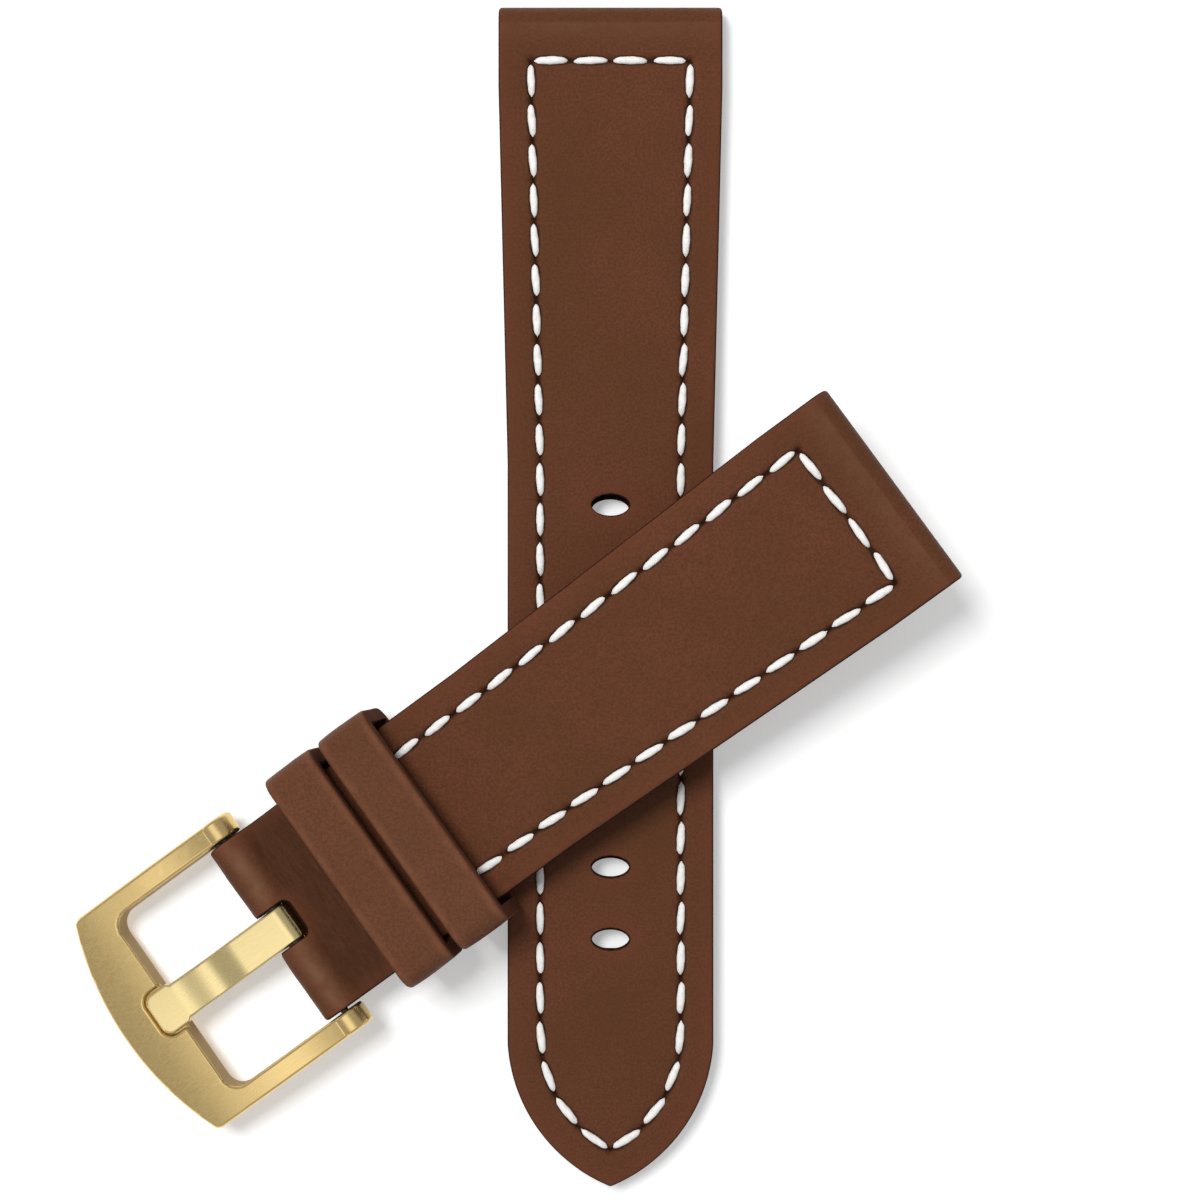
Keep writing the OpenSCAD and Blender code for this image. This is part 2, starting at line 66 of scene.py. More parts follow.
# The adjustment holes, punched at a slant, so that the lining's inner face, dark with the paint colour,
# shows in each hole as a painted shadow
HOLE_LONG = 3.7
HOLE_SHORT = 2.1
HOLE_SLANT = 0.4
HOLE_COUNT = 7
HOLE_PITCH = 7.1
HOLE_FROM_TIP = 24.3
HOLES = [LONG_LEN - HOLE_FROM_TIP - HOLE_PITCH * i for i in range(HOLE_COUNT)]
HOLE_SIDES = 40
HOLE_SINK = 0.12
HOLE_SINK_REACH = 0.2

# The leather's own slow waves, and the rounding of its upper edge
LEATHER_WAVE = 0.03
LEATHER_EDGE_R = 0.35

# The stitches, how they pull the leather beside them, and the painted shade beside them and round their
# needle holes
STITCH_INSET = 3.2
STITCH_START = 5.5
STITCH_PITCH = 3.9
STITCH_GAP = 0.6
NEEDLE_R = 0.375
NEEDLE_Z = THICK - 0.13
BOBBIN_R = 0.27
BOBBIN_Z = 0.2
SEAM_R = 0.25
STITCH_LEAN = 0.05
STITCH_SWAY = 0.04
STITCH_RISE = 0.03
STITCH_BULGE = 0.05
STITCH_FLATNESS = 0.8
STITCH_DIVE = 0.9
PLY_TWIST = 3.6
PLY_DEPTH = 0.06
STITCH_SIDES = 16
STITCH_CUTS = 17
SEAM_CELL = 2
UPPER_PULL = 1.0
LINING_PULL = 0.6
THREAD_PULL = 0.22
NEEDLE_HOLE_PULL = 0.45
LUG_PULL_UP_HIGHLIGHT = 0.4
SEAM_SHADE = 0.85
PULL_REACH = 0.55
NEEDLE_HOLE_REACH = 0.3
SEAM_SHADE_REACH = 0.17
NEEDLE_HOLE_SHADE_REACH = 0.2

# The tail, folded round the buckle's spring bar
BAR_X = 73.0
BAR_Z = 2.0
TAIL_FOLD_R = 2.0
TAIL_LEATHER = 1.0
OVER_KEEPER_T = 1.1
TAIL_MIDDLE_Z = 1.5
CREASE_DEPTH = 0.07
TAIL_W = 20.0
TAIL_DIP = 0.5
TAIL_FLAP = 7.0
TAIL_RISE = 115
SLOT_W = 4.1
SLOT_BACK = 2.2
# The slot stops short under the tail, so that the tail's inner face, dark with the paint colour, shows at
# its back end as painted shade
SLOT_UNDER = 1.75
SLOT_CORNER = 0.7

# The keepers
KEEPER_W = 5.5
KEEPER_T = 1.1
KEEPER_FIXED_X = 59.8
KEEPER_FREE_X = 53.4
KEEPER_HIGH = 7.8
KEEPER_LOW = -1.25
KEEPER_OUTER_W = 24.2
KEEPER_CORNER = 1.6
KEEPER_EDGE_R = 0.32
KEEPER_WAVE = 0.07
KEEPER_CROWN = 0.1
FIXED_PADDING = 0.45
FREE_PADDING = 0.3
KEEPER_SEAM = 2.0
FILLER_END = KEEPER_FIXED_X - 2.0
LINING_END = FILLER_END - TAIL_FLAP

# The buckle, measured from its spring bar
WINDOW_W = TAIL_W + 0.4
WINDOW_LEN = 13.4
ARM_W = 2.2
ARCH_X = 8.75
ARCH_Z = -65.94
FRONT_BAR_X = 11
FRAME_EDGE_R = 0.36
FIRST_CUT = 1.4
CUTS = 18
ARM_ROUNDING = 0.07
ARM_LEAN = 0.2
FRONT_LEAN = 0.06
CURL_R = 1.58
TONGUE_W = 3.8
TONGUE_T = 0.6
TONGUE_LEVEL = 5.0
TONGUE_LOW = (8.4, 3.08)
PAD_START = 12.4
PAD_END = 15.5
PAD_TOP = 3.906
PAD_T = 0.9
PAD_W = 4.4
PAD_CORNER = 1.0
TONGUE_END_R = 0.16
TONGUE_EDGE_R = 0.2
TONGUE_CROWN = 0.03
TONGUE_SIDE = 0.6

# Steps along a strip, and places across it measured from its edge
STEP = 0.22
WIDE_STEP = 0.6
ROUNDED_EDGE = [0.0, 0.05, 0.13, 0.25, 0.42, 0.65, 0.95, 1.3]
SEWN_EDGE = ROUNDED_EDGE + [1.7, 2.1, 2.4] + [2.52 + 0.115 * i for i in range(13)] + [4.1, 4.5]
THIN_EDGE = [0.0, 0.03, 0.07, 0.12, 0.2, 0.35, 0.6]

# The camera of the photograph, straight above the crossing
CAMERA_HEIGHT = 240.0
CAMERA_FOCUS = 2415.4
CAMERA_X = -1.03
CAMERA_Y = -56.83
PICTURE_HALF = 600
FILM_W = 36

# The studio, with the key light's place from the middle of the strap in metres
KEY_LIGHT_PLACE = (-0.21, 0.19, 0.66)
KEY_LIGHT_SIZE = 0.22
KEY_LIGHT_WATTS = 3.56
SOFT_LIGHT = 0.34
CEILING_PANEL = (-0.17, -0.14, 0.975)
TABLE_W = 3


def place_of_short_half():
    """The short half's own x, y and z in the frame, from the joints that lie along them."""
    joint = {j["name"]: j for j in frame["joints"]}
    down = -Vector(joint["free_keeper_slide"]["axis"])
    over = Vector(joint["spring_bar_spin"]["axis"])
    up = down.cross(over)
    turn = Matrix((down, over, up)).transposed().to_4x4()
    bar = Vector(joint["spring_bar_spin"]["pos_m"])
    return Matrix.Translation(bar) @ turn @ Matrix.Translation((-BAR_X * MM, 0, -BAR_Z * MM))


LUG_END = Matrix.Translation((0, FOLD_R * MM, -THICK / 2 * MM))
ON_LONG = LUG_END @ Matrix.Rotation(-math.pi / 2, 4, "Z")
ON_SHORT = place_of_short_half()


def eased(t):
    """Goes smoothly from 0 to 1 with t."""
    t = min(1.0, max(0.0, t))
    return t * t * (3 - 2 * t)


def half_width(x):
    """Half the width of either half, at x from its lug end."""
    if x < PARALLEL_LEN:
        return LUG_W / 2
    if x > TAPER_END:
        return BUCKLE_W / 2
    return LUG_W / 2 - (LUG_W - BUCKLE_W) / 2 * (x - PARALLEL_LEN) / (TAPER_END - PARALLEL_LEN)


def long_half_width(x):
    """Half the width of the long half, with its tip between two arcs."""
    if x <= TIP_START:
        return half_width(x)
    arc = math.sqrt(max(0.0, TIP_R ** 2 - (x - TIP_START) ** 2)) - TIP_DROP
    return max(0.0, min(BUCKLE_W / 2, arc))


def short_half_width(x):
    """Half the width of the short half, which narrows a little at its tail."""
    narrow = eased((x - FILLER_END) / 1.5)
    return half_width(x) + (TAIL_W / 2 - half_width(x)) * narrow


# Rows of stitches, as points in x and y

def long_side_row():
    """Along one side of the long half, and on round its tip."""
    row_r = TIP_R - STITCH_INSET
    straight = TIP_START - STITCH_START
    length = straight + row_r * math.acos(TIP_DROP / row_r)
    count = round(length / STITCH_PITCH)
    row = []
    for i in range(count + 1):
        d = i * length / count
        if d <= straight:
            x = STITCH_START + d
            row.append((x, half_width(x) - STITCH_INSET))
        else:
            a = (d - straight) / row_r
            row.append((TIP_START + row_r * math.sin(a), row_r * math.cos(a) - TIP_DROP))
    return row


def short_side_row():
    """Along one side of the short half, up to the free keeper."""
    length = KEEPER_FREE_X + KEEPER_W / 4 - STITCH_START
    count = round(length / STITCH_PITCH)
    xs = [STITCH_START + i * length / count for i in range(count + 1)]
    return [(x, half_width(x) - STITCH_INSET) for x in xs]


def cross_row():
    """Across the lug end."""
    half = half_width(STITCH_START) - STITCH_INSET
    count = round(2 * half / STITCH_PITCH)
    return [(STITCH_START, half * (2 * i / count - 1)) for i in range(count + 1)]


def rows_with(side):
    """Both sides' rows and the cross row."""
    return [side, [(x, -y) for x, y in side], cross_row()]


LONG_ROWS = rows_with(long_side_row())
SHORT_ROWS = rows_with(short_side_row())


# Modelling

def clear():
    """Leaves edit mode if need be, with nothing selected."""
    if bpy.context.object and bpy.context.object.mode != "OBJECT":
        bpy.ops.object.mode_set(mode="OBJECT")
    bpy.ops.object.select_all(action="DESELECT")


def only(piece):
    """Selects one piece alone."""
    clear()
    piece.select_set(True)
    bpy.context.view_layer.objects.active = piece


def edit(piece):
    """Opens a piece in edit mode, with all of it selected."""
    only(piece)
    bpy.ops.object.mode_set(mode="EDIT")
    bpy.ops.mesh.select_all(action="SELECT")


def done():
    """Leaves edit mode."""
    bpy.ops.object.mode_set(mode="OBJECT")


def delete_faces(piece, wanted):
    """Deletes the faces for which wanted(face) holds."""
    edit(piece)
    bpy.ops.mesh.select_mode(type="FACE")
    bpy.ops.mesh.select_all(action="DESELECT")
    done()
    for face in piece.data.polygons:
        face.select = wanted(face)
    bpy.ops.object.mode_set(mode="EDIT")
    bpy.ops.mesh.delete(type="FACE")
    bpy.ops.mesh.select_mode(type="VERT")
    done()


def select_edges(piece, wanted):
    """Selects the edges between two faces for which wanted(edge, a, b) holds."""
    edit(piece)
    bpy.ops.mesh.select_mode(type="EDGE")
    bpy.ops.mesh.select_all(action="DESELECT")
    done()
    data = piece.data
    beside = {}
    for face in data.polygons:
        for key in face.edge_keys:
            beside.setdefault(key, []).append(face)
    for edge in data.edges:
        faces = beside.get(edge.key, ())
        edge.select = len(faces) == 2 and wanted(edge, *faces)


def beside_sides(edge, a, b):
    """True for an edge along z between two upright faces."""
    return abs(a.normal.z) < 0.5 and abs(b.normal.z) < 0.5


def use(piece, kind, **settings):
    """Adds a modifier, sets it and applies it."""
    only(piece)
    modifier = piece.modifiers.new(kind.title(), kind)
    for name, value in settings.items():
        setattr(modifier, name, value)
    bpy.ops.object.modifier_apply(modifier=modifier.name)


def settle(piece, place):
    """Turns millimetres on a half into metres in the frame."""
    piece.data.transform(place @ Matrix.Scale(MM, 4))
    piece.data.update()


def finished(piece, name, body, material, nodes, angle=40):
    """Names a piece, gives it its finish, and puts it on its body in place of its solids."""
    piece.name = name
    piece.data.name = name
    piece.data.materials.clear()
    piece.data.materials.append(material)
    only(piece)
    if angle:
        bpy.ops.object.shade_smooth_by_angle(angle=math.radians(angle))
    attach(piece, body)
    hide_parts(*nodes)
    return piece


def copy_of(blank):
    """A copy of a blank with its own mesh."""
    piece = bpy.data.objects.new(blank.name, blank.data.copy())
    bpy.context.scene.collection.objects.link(piece)
    return piece


def spaced(a, b, step):
    """Places from a up to b, without b, about a step apart."""
    count = max(1, round(abs(b - a) / step))
    return [a + (b - a) * i / count for i in range(count)]


def between(stops, x):
    """A value read from a list of stops, straight between them."""
    if x <= stops[0][0]:
        return stops[0][1]
    for (x0, v0), (x1, v1) in zip(stops, stops[1:]):
        if x <= x1:
            return v0 + (v1 - v0) * (x - x0) / max(x1 - x0, 1e-9)
    return stops[-1][1]


class Route:
    """The line that a strip of leather follows, seen from the side: points in x and z."""

    def __init__(self, points):
        self.points = [Vector(p) for p in points]
        self.at = [0.0]
        for a, b in zip(self.points, self.points[1:]):
            self.at.append(self.at[-1] + (b - a).length)
        self.length = self.at[-1]
        tangents = []
        for i in range(len(self.points)):
            before, after = self.points[max(i - 1, 0)], self.points[min(i + 1, len(self.points) - 1)]
            tangents.append((after - before).normalized())
        self.tangents = tangents
        self.last = 0

    def find(self, u):
        """The point at u along the line, and the way out from it."""
        k = self.last
        while k > 0 and self.at[k] > u:
            k -= 1
        while k < len(self.at) - 2 and self.at[k + 1] < u:
            k += 1
        self.last = k
        share = (u - self.at[k]) / max(self.at[k + 1] - self.at[k], 1e-9)
        share = min(1.0, max(0.0, share))
        point = self.points[k].lerp(self.points[k + 1], share)
        tangent = self.tangents[k].lerp(self.tangents[k + 1], share).normalized()
        return point, Vector((-tangent.y, tangent.x))


def sweep(a, slope_a, b, slope_b, steps=12):
    """Points after a up to b, on a smooth line with these slopes at its ends."""
    width = b[0] - a[0]
    points = []
    for i in range(1, steps + 1):
        t = i / steps
        z = (2 * t ** 3 - 3 * t ** 2 + 1) * a[1] + (t ** 3 - 2 * t ** 2 + t) * slope_a * width
        z += (3 * t ** 2 - 2 * t ** 3) * b[1] + (t ** 3 - t ** 2) * slope_b * width
        points.append((a[0] + t * width, z))
    return points


def bow(cx, cz, r, start, end, steps=24):
    """Points on an arc, in degrees from the x axis."""
    angles = [math.radians(start + (end - start) * i / steps) for i in range(steps + 1)]
    return [(cx + r * math.cos(a), cz + r * math.sin(a)) for a in angles]


def columns_of(half, steps, count):
    """Places across a strip, closer together beside its edges and under its stitches."""
    share = min(1.0, half / (steps[-1] + 1.5))
    edge = [half - e * share for e in steps]
    inner = edge[-1]
    middle = [inner * (1 - 2 * i / count) for i in range(1, count)]
    return edge + middle + [-y for y in reversed(edge)]


def strip(route, stations, half, steps, count, depth, relief, holes=(),
          edge_r=LEATHER_EDGE_R, closed=False):
    """A strip of leather: a flat grid is narrowed to its outline, thickened, punched,
    and then bent along its route, with the relief of its upper face."""
    clear()
    across = 2 * len(steps) + count - 1
    bpy.ops.mesh.primitive_grid_add(
        x_subdivisions=len(stations) - 1, y_subdivisions=across - 1, size=2)
    piece = bpy.context.object
    for v in piece.data.vertices:
        i = round((v.co.x + 1) / 2 * (len(stations) - 1))
        j = round((v.co.y + 1) / 2 * (across - 1))
        u = stations[i]
        point, _ = route.find(u)
        columns = columns_of(max(half(point.x), 0.004), steps, count)
        v.co = (u, -columns[j], 0)
    edit(piece)
    bpy.ops.mesh.remove_doubles(threshold=0.003)
    bpy.ops.mesh.extrude_region_move(TRANSFORM_OT_translate={"value": (0, 0, -1)})
    bpy.ops.mesh.select_all(action="SELECT")
    bpy.ops.mesh.normals_make_consistent(inside=False)
    done()
    if closed:
        delete_faces(piece, lambda face: abs(face.normal.x) > 0.9)
    for cutter in holes:
        use(piece, "BOOLEAN", operation="DIFFERENCE", solver="EXACT", object=cutter)
    bend(piece, route, half, depth, relief, holes, edge_r)
    return piece


def bend(piece, route, half, depth, relief, holes, edge_r):
    """Bends a flat strip along its route, and marks on it what its finish shows:
    the distance from its rim, the painted shade along its stitches, its dip, where the finish paints shade,
    and the painted highlight where the leather bends."""
    data = piece.data
    names = ("rim", "seam", "dip", "bent")
    for name in names:
        data.attributes.new(name, "FLOAT", "POINT")
    marks = [data.attributes[name].data for name in names]
    for v in data.vertices:
        u, y, z = v.co
        point, out = route.find(u)
        w = half(point.x)
        ahead = half(route.find(min(u + 0.2, route.length))[0].x)
        lean = math.cos(math.atan2(w - ahead, 0.2)) if u + 0.2 < route.length else 1.0
        e = max(0.0, w - abs(y)) * lean
        near = min([hole_gap(hole, u, y) for hole in holes if abs(u - hole["punch"][0]) < 8], default=9.0)
        upper = z > -0.5
        # The last value is the share of the painted highlight where the leather bends, taken with pull-up
        # lightening
        height, dark, low, pull = relief(point.x, y, u) if upper else (0.0, 0.0, 0.0, 0.0)
        if upper and e < edge_r:
            height -= edge_r - math.sqrt(max(0.0, edge_r ** 2 - (edge_r - e) ** 2))
        if upper:
            height -= HOLE_SINK * math.exp(-(near / HOLE_SINK_REACH) ** 2)
        lift = height + z * depth(u, point.x)
        # Faces below the upper face get no rim distance, so they take the paint colour: paint on the cut
        # edges, and painted shade on the inner faces that show through the holes and the slot
        for mark, value in zip(marks, (min(e, near) if upper else 0.0, dark, low, pull)):
            mark[v.index].value = value
        v.co = (point.x + out.x * lift, y, point.y + out.y * lift)
    data.update()


def hole_gap(cutter, u, y):
    """How far a point of the flat strip is from a punch's outline."""
    x0, y0, hx, hy, r = cutter["punch"]
    if not r:
        away = math.hypot((u - x0) / hx, (y - y0) / hy)
        return math.hypot(u - x0, y - y0) * max(0.0, 1 - 1 / max(away, 1e-6))
    dx = max(abs(u - x0) - hx + r, 0.0)
    dy = max(abs(y - y0) - hy + r, 0.0)
    return max(0.0, math.hypot(dx, dy) - r)


def through_strip(cutter, x, y, hx, hy, r):
    """Sizes a cutter that is 2 long each way, puts it through the flat strip and notes its outline."""
    for v in cutter.data.vertices:
        v.co = (x + v.co.x * hx, y + v.co.y * hy, v.co.z * 3 - 0.5)
    cutter["punch"] = (x, y, hx, hy, r)
    return cutter


def slot_punch(x, hx, hy, r):
    """A cutter with round corners."""
    clear()
    bpy.ops.mesh.primitive_cube_add(size=2, location=(0, 0, 0))
    cutter = through_strip(bpy.context.object, x, 0, hx, hy, r)
    select_edges(cutter, beside_sides)
    bpy.ops.object.mode_set(mode="EDIT")
    bpy.ops.mesh.bevel(offset=r * 0.998, segments=10, affect="EDGES")
    done()
    return cutter


def hole_punches(places):
    """An oval cutter at each of these places along the strip."""
    clear()
    bpy.ops.mesh.primitive_cylinder_add(vertices=HOLE_SIDES, radius=1, depth=2)
    blank = bpy.context.object
    cutters = [through_strip(copy_of(blank), x, 0, HOLE_SHORT / 2, HOLE_LONG / 2, 0.0) for x in places]
    discard([blank])
    return cutters


def discard(things):
    """Removes objects that were only tools."""
    for thing in things:
        bpy.data.objects.remove(thing, do_unlink=True)


def stitch_half(t):
    """Half the width of a stitch, from its middle at 0 to its end at 1."""
    return max(0.3, (1 - min(1.0, abs(t)) ** 3.6) ** 0.6)


def seam_relief(rows, deep, thread_r, x_limit=math.inf):
    """The pull of the thread on the leather round each stitch, and the painted shade in a line beside it
    and round its needle holes.
    """
    nearby = {}
    for row in rows:
        for a, b in zip(row, row[1:]):
            low, high = min(a[0], b[0]) - SEAM_CELL, max(a[0], b[0]) + SEAM_CELL
            for k in range(int(low // SEAM_CELL), int(high // SEAM_CELL) + 1):
                nearby.setdefault(k, []).append((Vector(a), Vector(b)))

    def relief(x, y, u):
        wave = LEATHER_WAVE * noise.noise(Vector((u * 0.13, y * 0.2, 3.0)))
        if x > x_limit:
            return wave, 0.0, 0.0, 0.0
        here = Vector((x, y))
        dark = sink = hole = 0.0
        for a, b in nearby.get(int(x // SEAM_CELL), ()):
            run = b - a
            length = run.length
            way = run / length
            s = (here - a).dot(way)
            if s < -1.6 or s > length + 1.6:
                continue
            near = min((here - a).length, (here - b).length)
            off = abs((here - a).cross(way)) if 0 <= s <= length else near
            t = (2 * s / length - 1) * length / (length - STITCH_GAP)
            beside = off - thread_r * stitch_half(t)
            sink = max(sink, math.exp(-(off / PULL_REACH) ** 2))
            hole = max(hole, math.exp(-(near / NEEDLE_HOLE_REACH) ** 2))
            # Painted shade: dark under and along each stitch, and round each needle hole
            line = 1.0 if beside < 0 else math.exp(-(beside / SEAM_SHADE_REACH) ** 2)
            line = SEAM_SHADE * line if abs(t) < 1.1 else 0.0
            dark = max(dark, line, math.exp(-(near / NEEDLE_HOLE_SHADE_REACH) ** 2))
        # Painted highlight over the lug fold, with pull-up lightening
        pull_up_highlight_share = LUG_PULL_UP_HIGHLIGHT * (1 - eased((x - 1.5) / 3))
        return wave - deep * (THREAD_PULL * sink + NEEDLE_HOLE_PULL * hole), dark, 0.0, pull_up_highlight_share

    return relief


def lug_fold():
    """The leather turned under at a lug end, as points from its flap up to the upper face."""
    return [(FLAP_LEN, 0), (FOLD_R, 0)] + bow(FOLD_R, FOLD_R, FOLD_R, -90, -270)[1:]


def lug_stations(top):
    """Places from the flap's end, round the fold and up to just past the cross row."""
    row = top + STITCH_START - FOLD_R
    stations = spaced(0, BEND_U, WIDE_STEP) + spaced(BEND_U, top, STEP)
    stations += spaced(top, row - 0.8, 0.3) + spaced(row - 0.8, row + 0.8, 0.11)
    return stations + spaced(row + 0.8, row + 1, 0.2)


# The long half

def long_upper_leather():
    """The upper leather of the long half, with its holes, from the flap at its lug end to its tip."""
    route = Route(lug_fold() + [(LONG_LEN, THICK)])
    top = route.length - (LONG_LEN - FOLD_R)
    tip = top + TIP_START - FOLD_R
    stations = lug_stations(top) + spaced(top + STITCH_START + 1 - FOLD_R, tip, STEP)
    stations += spaced(tip, route.length - 1.2, 0.15)
    stations += spaced(route.length - 1.2, route.length, 0.08) + [route.length]
    thickness = [
        (0, LINING_T), (BEND_U - 0.4, LINING_T), (BEND_U + 0.5, CHANNEL_WALL),
        (top - 0.5, CHANNEL_WALL), (top + 2.2, TOP_T)]
    pull = seam_relief(LONG_ROWS, UPPER_PULL, NEEDLE_R)

    def depth(u, x):
        return between(thickness, u)

    def relief(x, y, u):
        return pull(x, y, u) if u > top else (0.0, 0.0, 0.0, 0.0)

    cutters = hole_punches([top + x - FOLD_R for x in HOLES])
    piece = strip(route, stations, long_half_width, SEWN_EDGE, 14, depth, relief, cutters)
    discard(cutters)
    settle(piece, ON_LONG)
    return finished(piece, "long_upper_leather", "long_half", LEATHER, ["long_top_leather"])


def lining_depth(u, x):
    """A lining is equally thick all over."""
    return LINING_T


def long_lining_leather():
    """The lining of the long half, from its tip to the flap, with its face down."""
    route = Route([(LONG_LEN, 0), (FLAP_LEN, 0)])
    stations = spaced(0, 1.2, 0.1) + spaced(1.2, TIP_LEN, 0.3)
    stations += spaced(TIP_LEN, route.length, 0.5) + [route.length]
    pull = seam_relief(LONG_ROWS, LINING_PULL, BOBBIN_R)
    cutters = hole_punches([LONG_LEN - x - HOLE_SLANT for x in HOLES])
    piece = strip(route, stations, long_half_width, SEWN_EDGE, 10, lining_depth, pull, cutters)
    discard(cutters)
    settle(piece, ON_LONG)
    return finished(piece, "long_lining_leather", "long_half", LINING, ["long_lining"])


# The short half

def short_upper_leather():
    """The upper leather of the short half, which ends in the tail folded round the spring bar."""
    keeper_end = KEEPER_FIXED_X + KEEPER_W
    dip = (keeper_end + 0.4, THICK)
    low = ((dip[0] + BAR_X) / 2, THICK - TAIL_DIP)
    start = math.radians(TAIL_RISE)
    rise = (BAR_X + TAIL_FOLD_R * math.cos(start), BAR_Z + TAIL_FOLD_R * math.sin(start))
    points = lug_fold()
    turned = len(points) - 1
    points += [dip] + sweep(dip, 0, low, 0) + sweep(low, 0, rise, -1 / math.tan(start))
    points += bow(BAR_X, BAR_Z, TAIL_FOLD_R, TAIL_RISE, -90, 36)[1:] + [(LINING_END, 0)]
    route = Route(points)
    top = route.at[turned]
    around = route.length - (BAR_X - LINING_END)
    arc = around - TAIL_FOLD_R * math.radians(TAIL_RISE + 90)
    stations = lug_stations(top) + spaced(top + STITCH_START + 1 - FOLD_R, arc, STEP)
    stations += spaced(arc, around, 0.2) + spaced(around, route.length, 0.5) + [route.length]

    # How thick the leather is before its fold, over the layers inside, and under them
    turned_under = [(0, LINING_T), (BEND_U - 0.4, LINING_T), (BEND_U, CHANNEL_WALL)]
    upper = [
        (FOLD_R, CHANNEL_WALL), (FOLD_R + 2.2, TOP_T), (FILLER_END, TOP_T),
        (FILLER_END + 0.1, THICK - TAIL_MIDDLE_Z), (KEEPER_FIXED_X - 0.05, THICK - TAIL_MIDDLE_Z),
        (KEEPER_FIXED_X, OVER_KEEPER_T), (keeper_end, OVER_KEEPER_T), (keeper_end + 0.05, 1.7),
        (low[0], 1.25), (BAR_X - 1.6, 1.5), (rise[0], TAIL_LEATHER)]
    below = [
        (FILLER_END, TAIL_LEATHER), (FILLER_END + 0.1, TAIL_MIDDLE_Z),
        (KEEPER_FIXED_X - 0.05, TAIL_MIDDLE_Z), (KEEPER_FIXED_X, TAIL_LEATHER),
        (keeper_end, TAIL_LEATHER), (keeper_end + 0.05, TAIL_MIDDLE_Z),
        (low[0], 1.45), (BAR_X - 1.6, 1.95), (BAR_X - 1, BAR_Z),
        (BAR_X - 0.8, 1.4), (BAR_X - 0.4, 1.08), (BAR_X, TAIL_LEATHER)]

    def depth(u, x):
        if u < BEND_U:
            return between(turned_under, u)
        if u < top:
            return CHANNEL_WALL
        if u < arc:
            return between(upper, x)
        return TAIL_LEATHER if u < around else between(below, x)

    def in_slot(u):
        back = SLOT_BACK if u < around else SLOT_UNDER
        return u > arc - 4 and route.find(u)[0].x > BAR_X - back

    slot = [u for u in stations if in_slot(u)]
    cutter = slot_punch((slot[0] + slot[-1]) / 2, (slot[-1] - slot[0]) / 2, SLOT_W / 2, SLOT_CORNER)
    pull = seam_relief(SHORT_ROWS, UPPER_PULL, NEEDLE_R, KEEPER_FREE_X + 4)

    def relief(x, y, u):
        if u < top or u > around:
            return 0.0, 0.0, 0.0, 0.0
        height, dark, hollow, pull_up_highlight_share = pull(x, y, u)
        if x > KEEPER_FIXED_X:
            crease = noise.noise(Vector((x * 0.9 + y * 0.25, y * 0.3, 7.0)))
            height += CREASE_DEPTH * crease * eased((x - KEEPER_FIXED_X) / 3)
            # How far into the dip behind the fixed keeper; the finish paints shade there
            hollow = eased((x - KEEPER_FIXED_X) / 2) * (1 - eased((x - low[0] - 0.6) / 2.6))
            # Painted highlight on the bulge over the spring bar, with pull-up lightening
            pull_up_highlight_share = math.exp(-((x - BAR_X + 0.4) / 0.9) ** 2)
        return height, dark, hollow, pull_up_highlight_share

    piece = strip(route, stations, short_half_width, SEWN_EDGE, 14, depth, relief, [cutter])
    discard([cutter])
    settle(piece, ON_SHORT)
    return finished(piece, "short_upper_leather", "short_half", LEATHER, ["short_top_leather"])


def short_lining_leather():
    """The lining of the short half, between its tail and its flap."""
    route = Route([(LINING_END, 0), (FLAP_LEN, 0)])
    stations = spaced(0, route.length, 0.45) + [route.length]
    pull = seam_relief(SHORT_ROWS, LINING_PULL, BOBBIN_R)
    piece = strip(route, stations, short_half_width, SEWN_EDGE, 10, lining_depth, pull)
    settle(piece, ON_SHORT)
    return finished(piece, "short_lining_leather", "short_half", LINING, ["short_lining"])


# Keepers

def keeper(name, body, x, low, node, seed, padding):
    """A band of leather bent round a box with round corners, and joined underneath."""
    w, r = KEEPER_OUTER_W / 2, KEEPER_CORNER
    high = KEEPER_HIGH
    points = [(0, low), (-w + r, low)] + bow(-w + r, low + r, r, -90, -180, 12)[1:]
    points += bow(-w + r, high - r, r, 180, 90, 12) + bow(w - r, high - r, r, 90, 0, 12)
    points += bow(w - r, low + r, r, 0, -90, 12) + [(0, low)]
    route = Route(points)
    stations = spaced(0, route.length, 0.25) + [route.length]

    def half(a):
        return KEEPER_W / 2

    def depth(u, a):
        return KEEPER_T + padding * abs(route.find(u)[1].x) ** 2

    def relief(a, y, u):
        wave = KEEPER_WAVE * noise.noise(Vector((u * 0.16, y * 0.3, seed)))
        return wave + KEEPER_CROWN * (1 - (2 * y / KEEPER_W) ** 2), 0.0, 0.0, 0.0

    piece = strip(route, stations, half, ROUNDED_EDGE, 10, depth, relief, edge_r=KEEPER_EDGE_R, closed=True)
    edit(piece)
    bpy.ops.mesh.remove_doubles(threshold=0.002)
    done()
    to_middle = Matrix.Translation((x + KEEPER_W / 2, 0, 0))
    piece.data.transform(to_middle @ Matrix.Rotation(math.pi / 2, 4, "Z"))
    settle(piece, ON_SHORT)
    return finished(piece, name, body, KEEPER_LEATHER, [node])


# Threads

def stitch_blank():
    """A rod along z from -1 to 1, which every stitch of a thread is shaped from."""
    clear()
    bpy.ops.mesh.primitive_cylinder_add(vertices=STITCH_SIDES, radius=1, depth=2, end_fill_type="TRIFAN")
    blank = bpy.context.object
    select_edges(blank, beside_sides)
    bpy.ops.object.mode_set(mode="EDIT")
    bpy.ops.mesh.subdivide(number_cuts=STITCH_CUTS)
    done()
    return blank


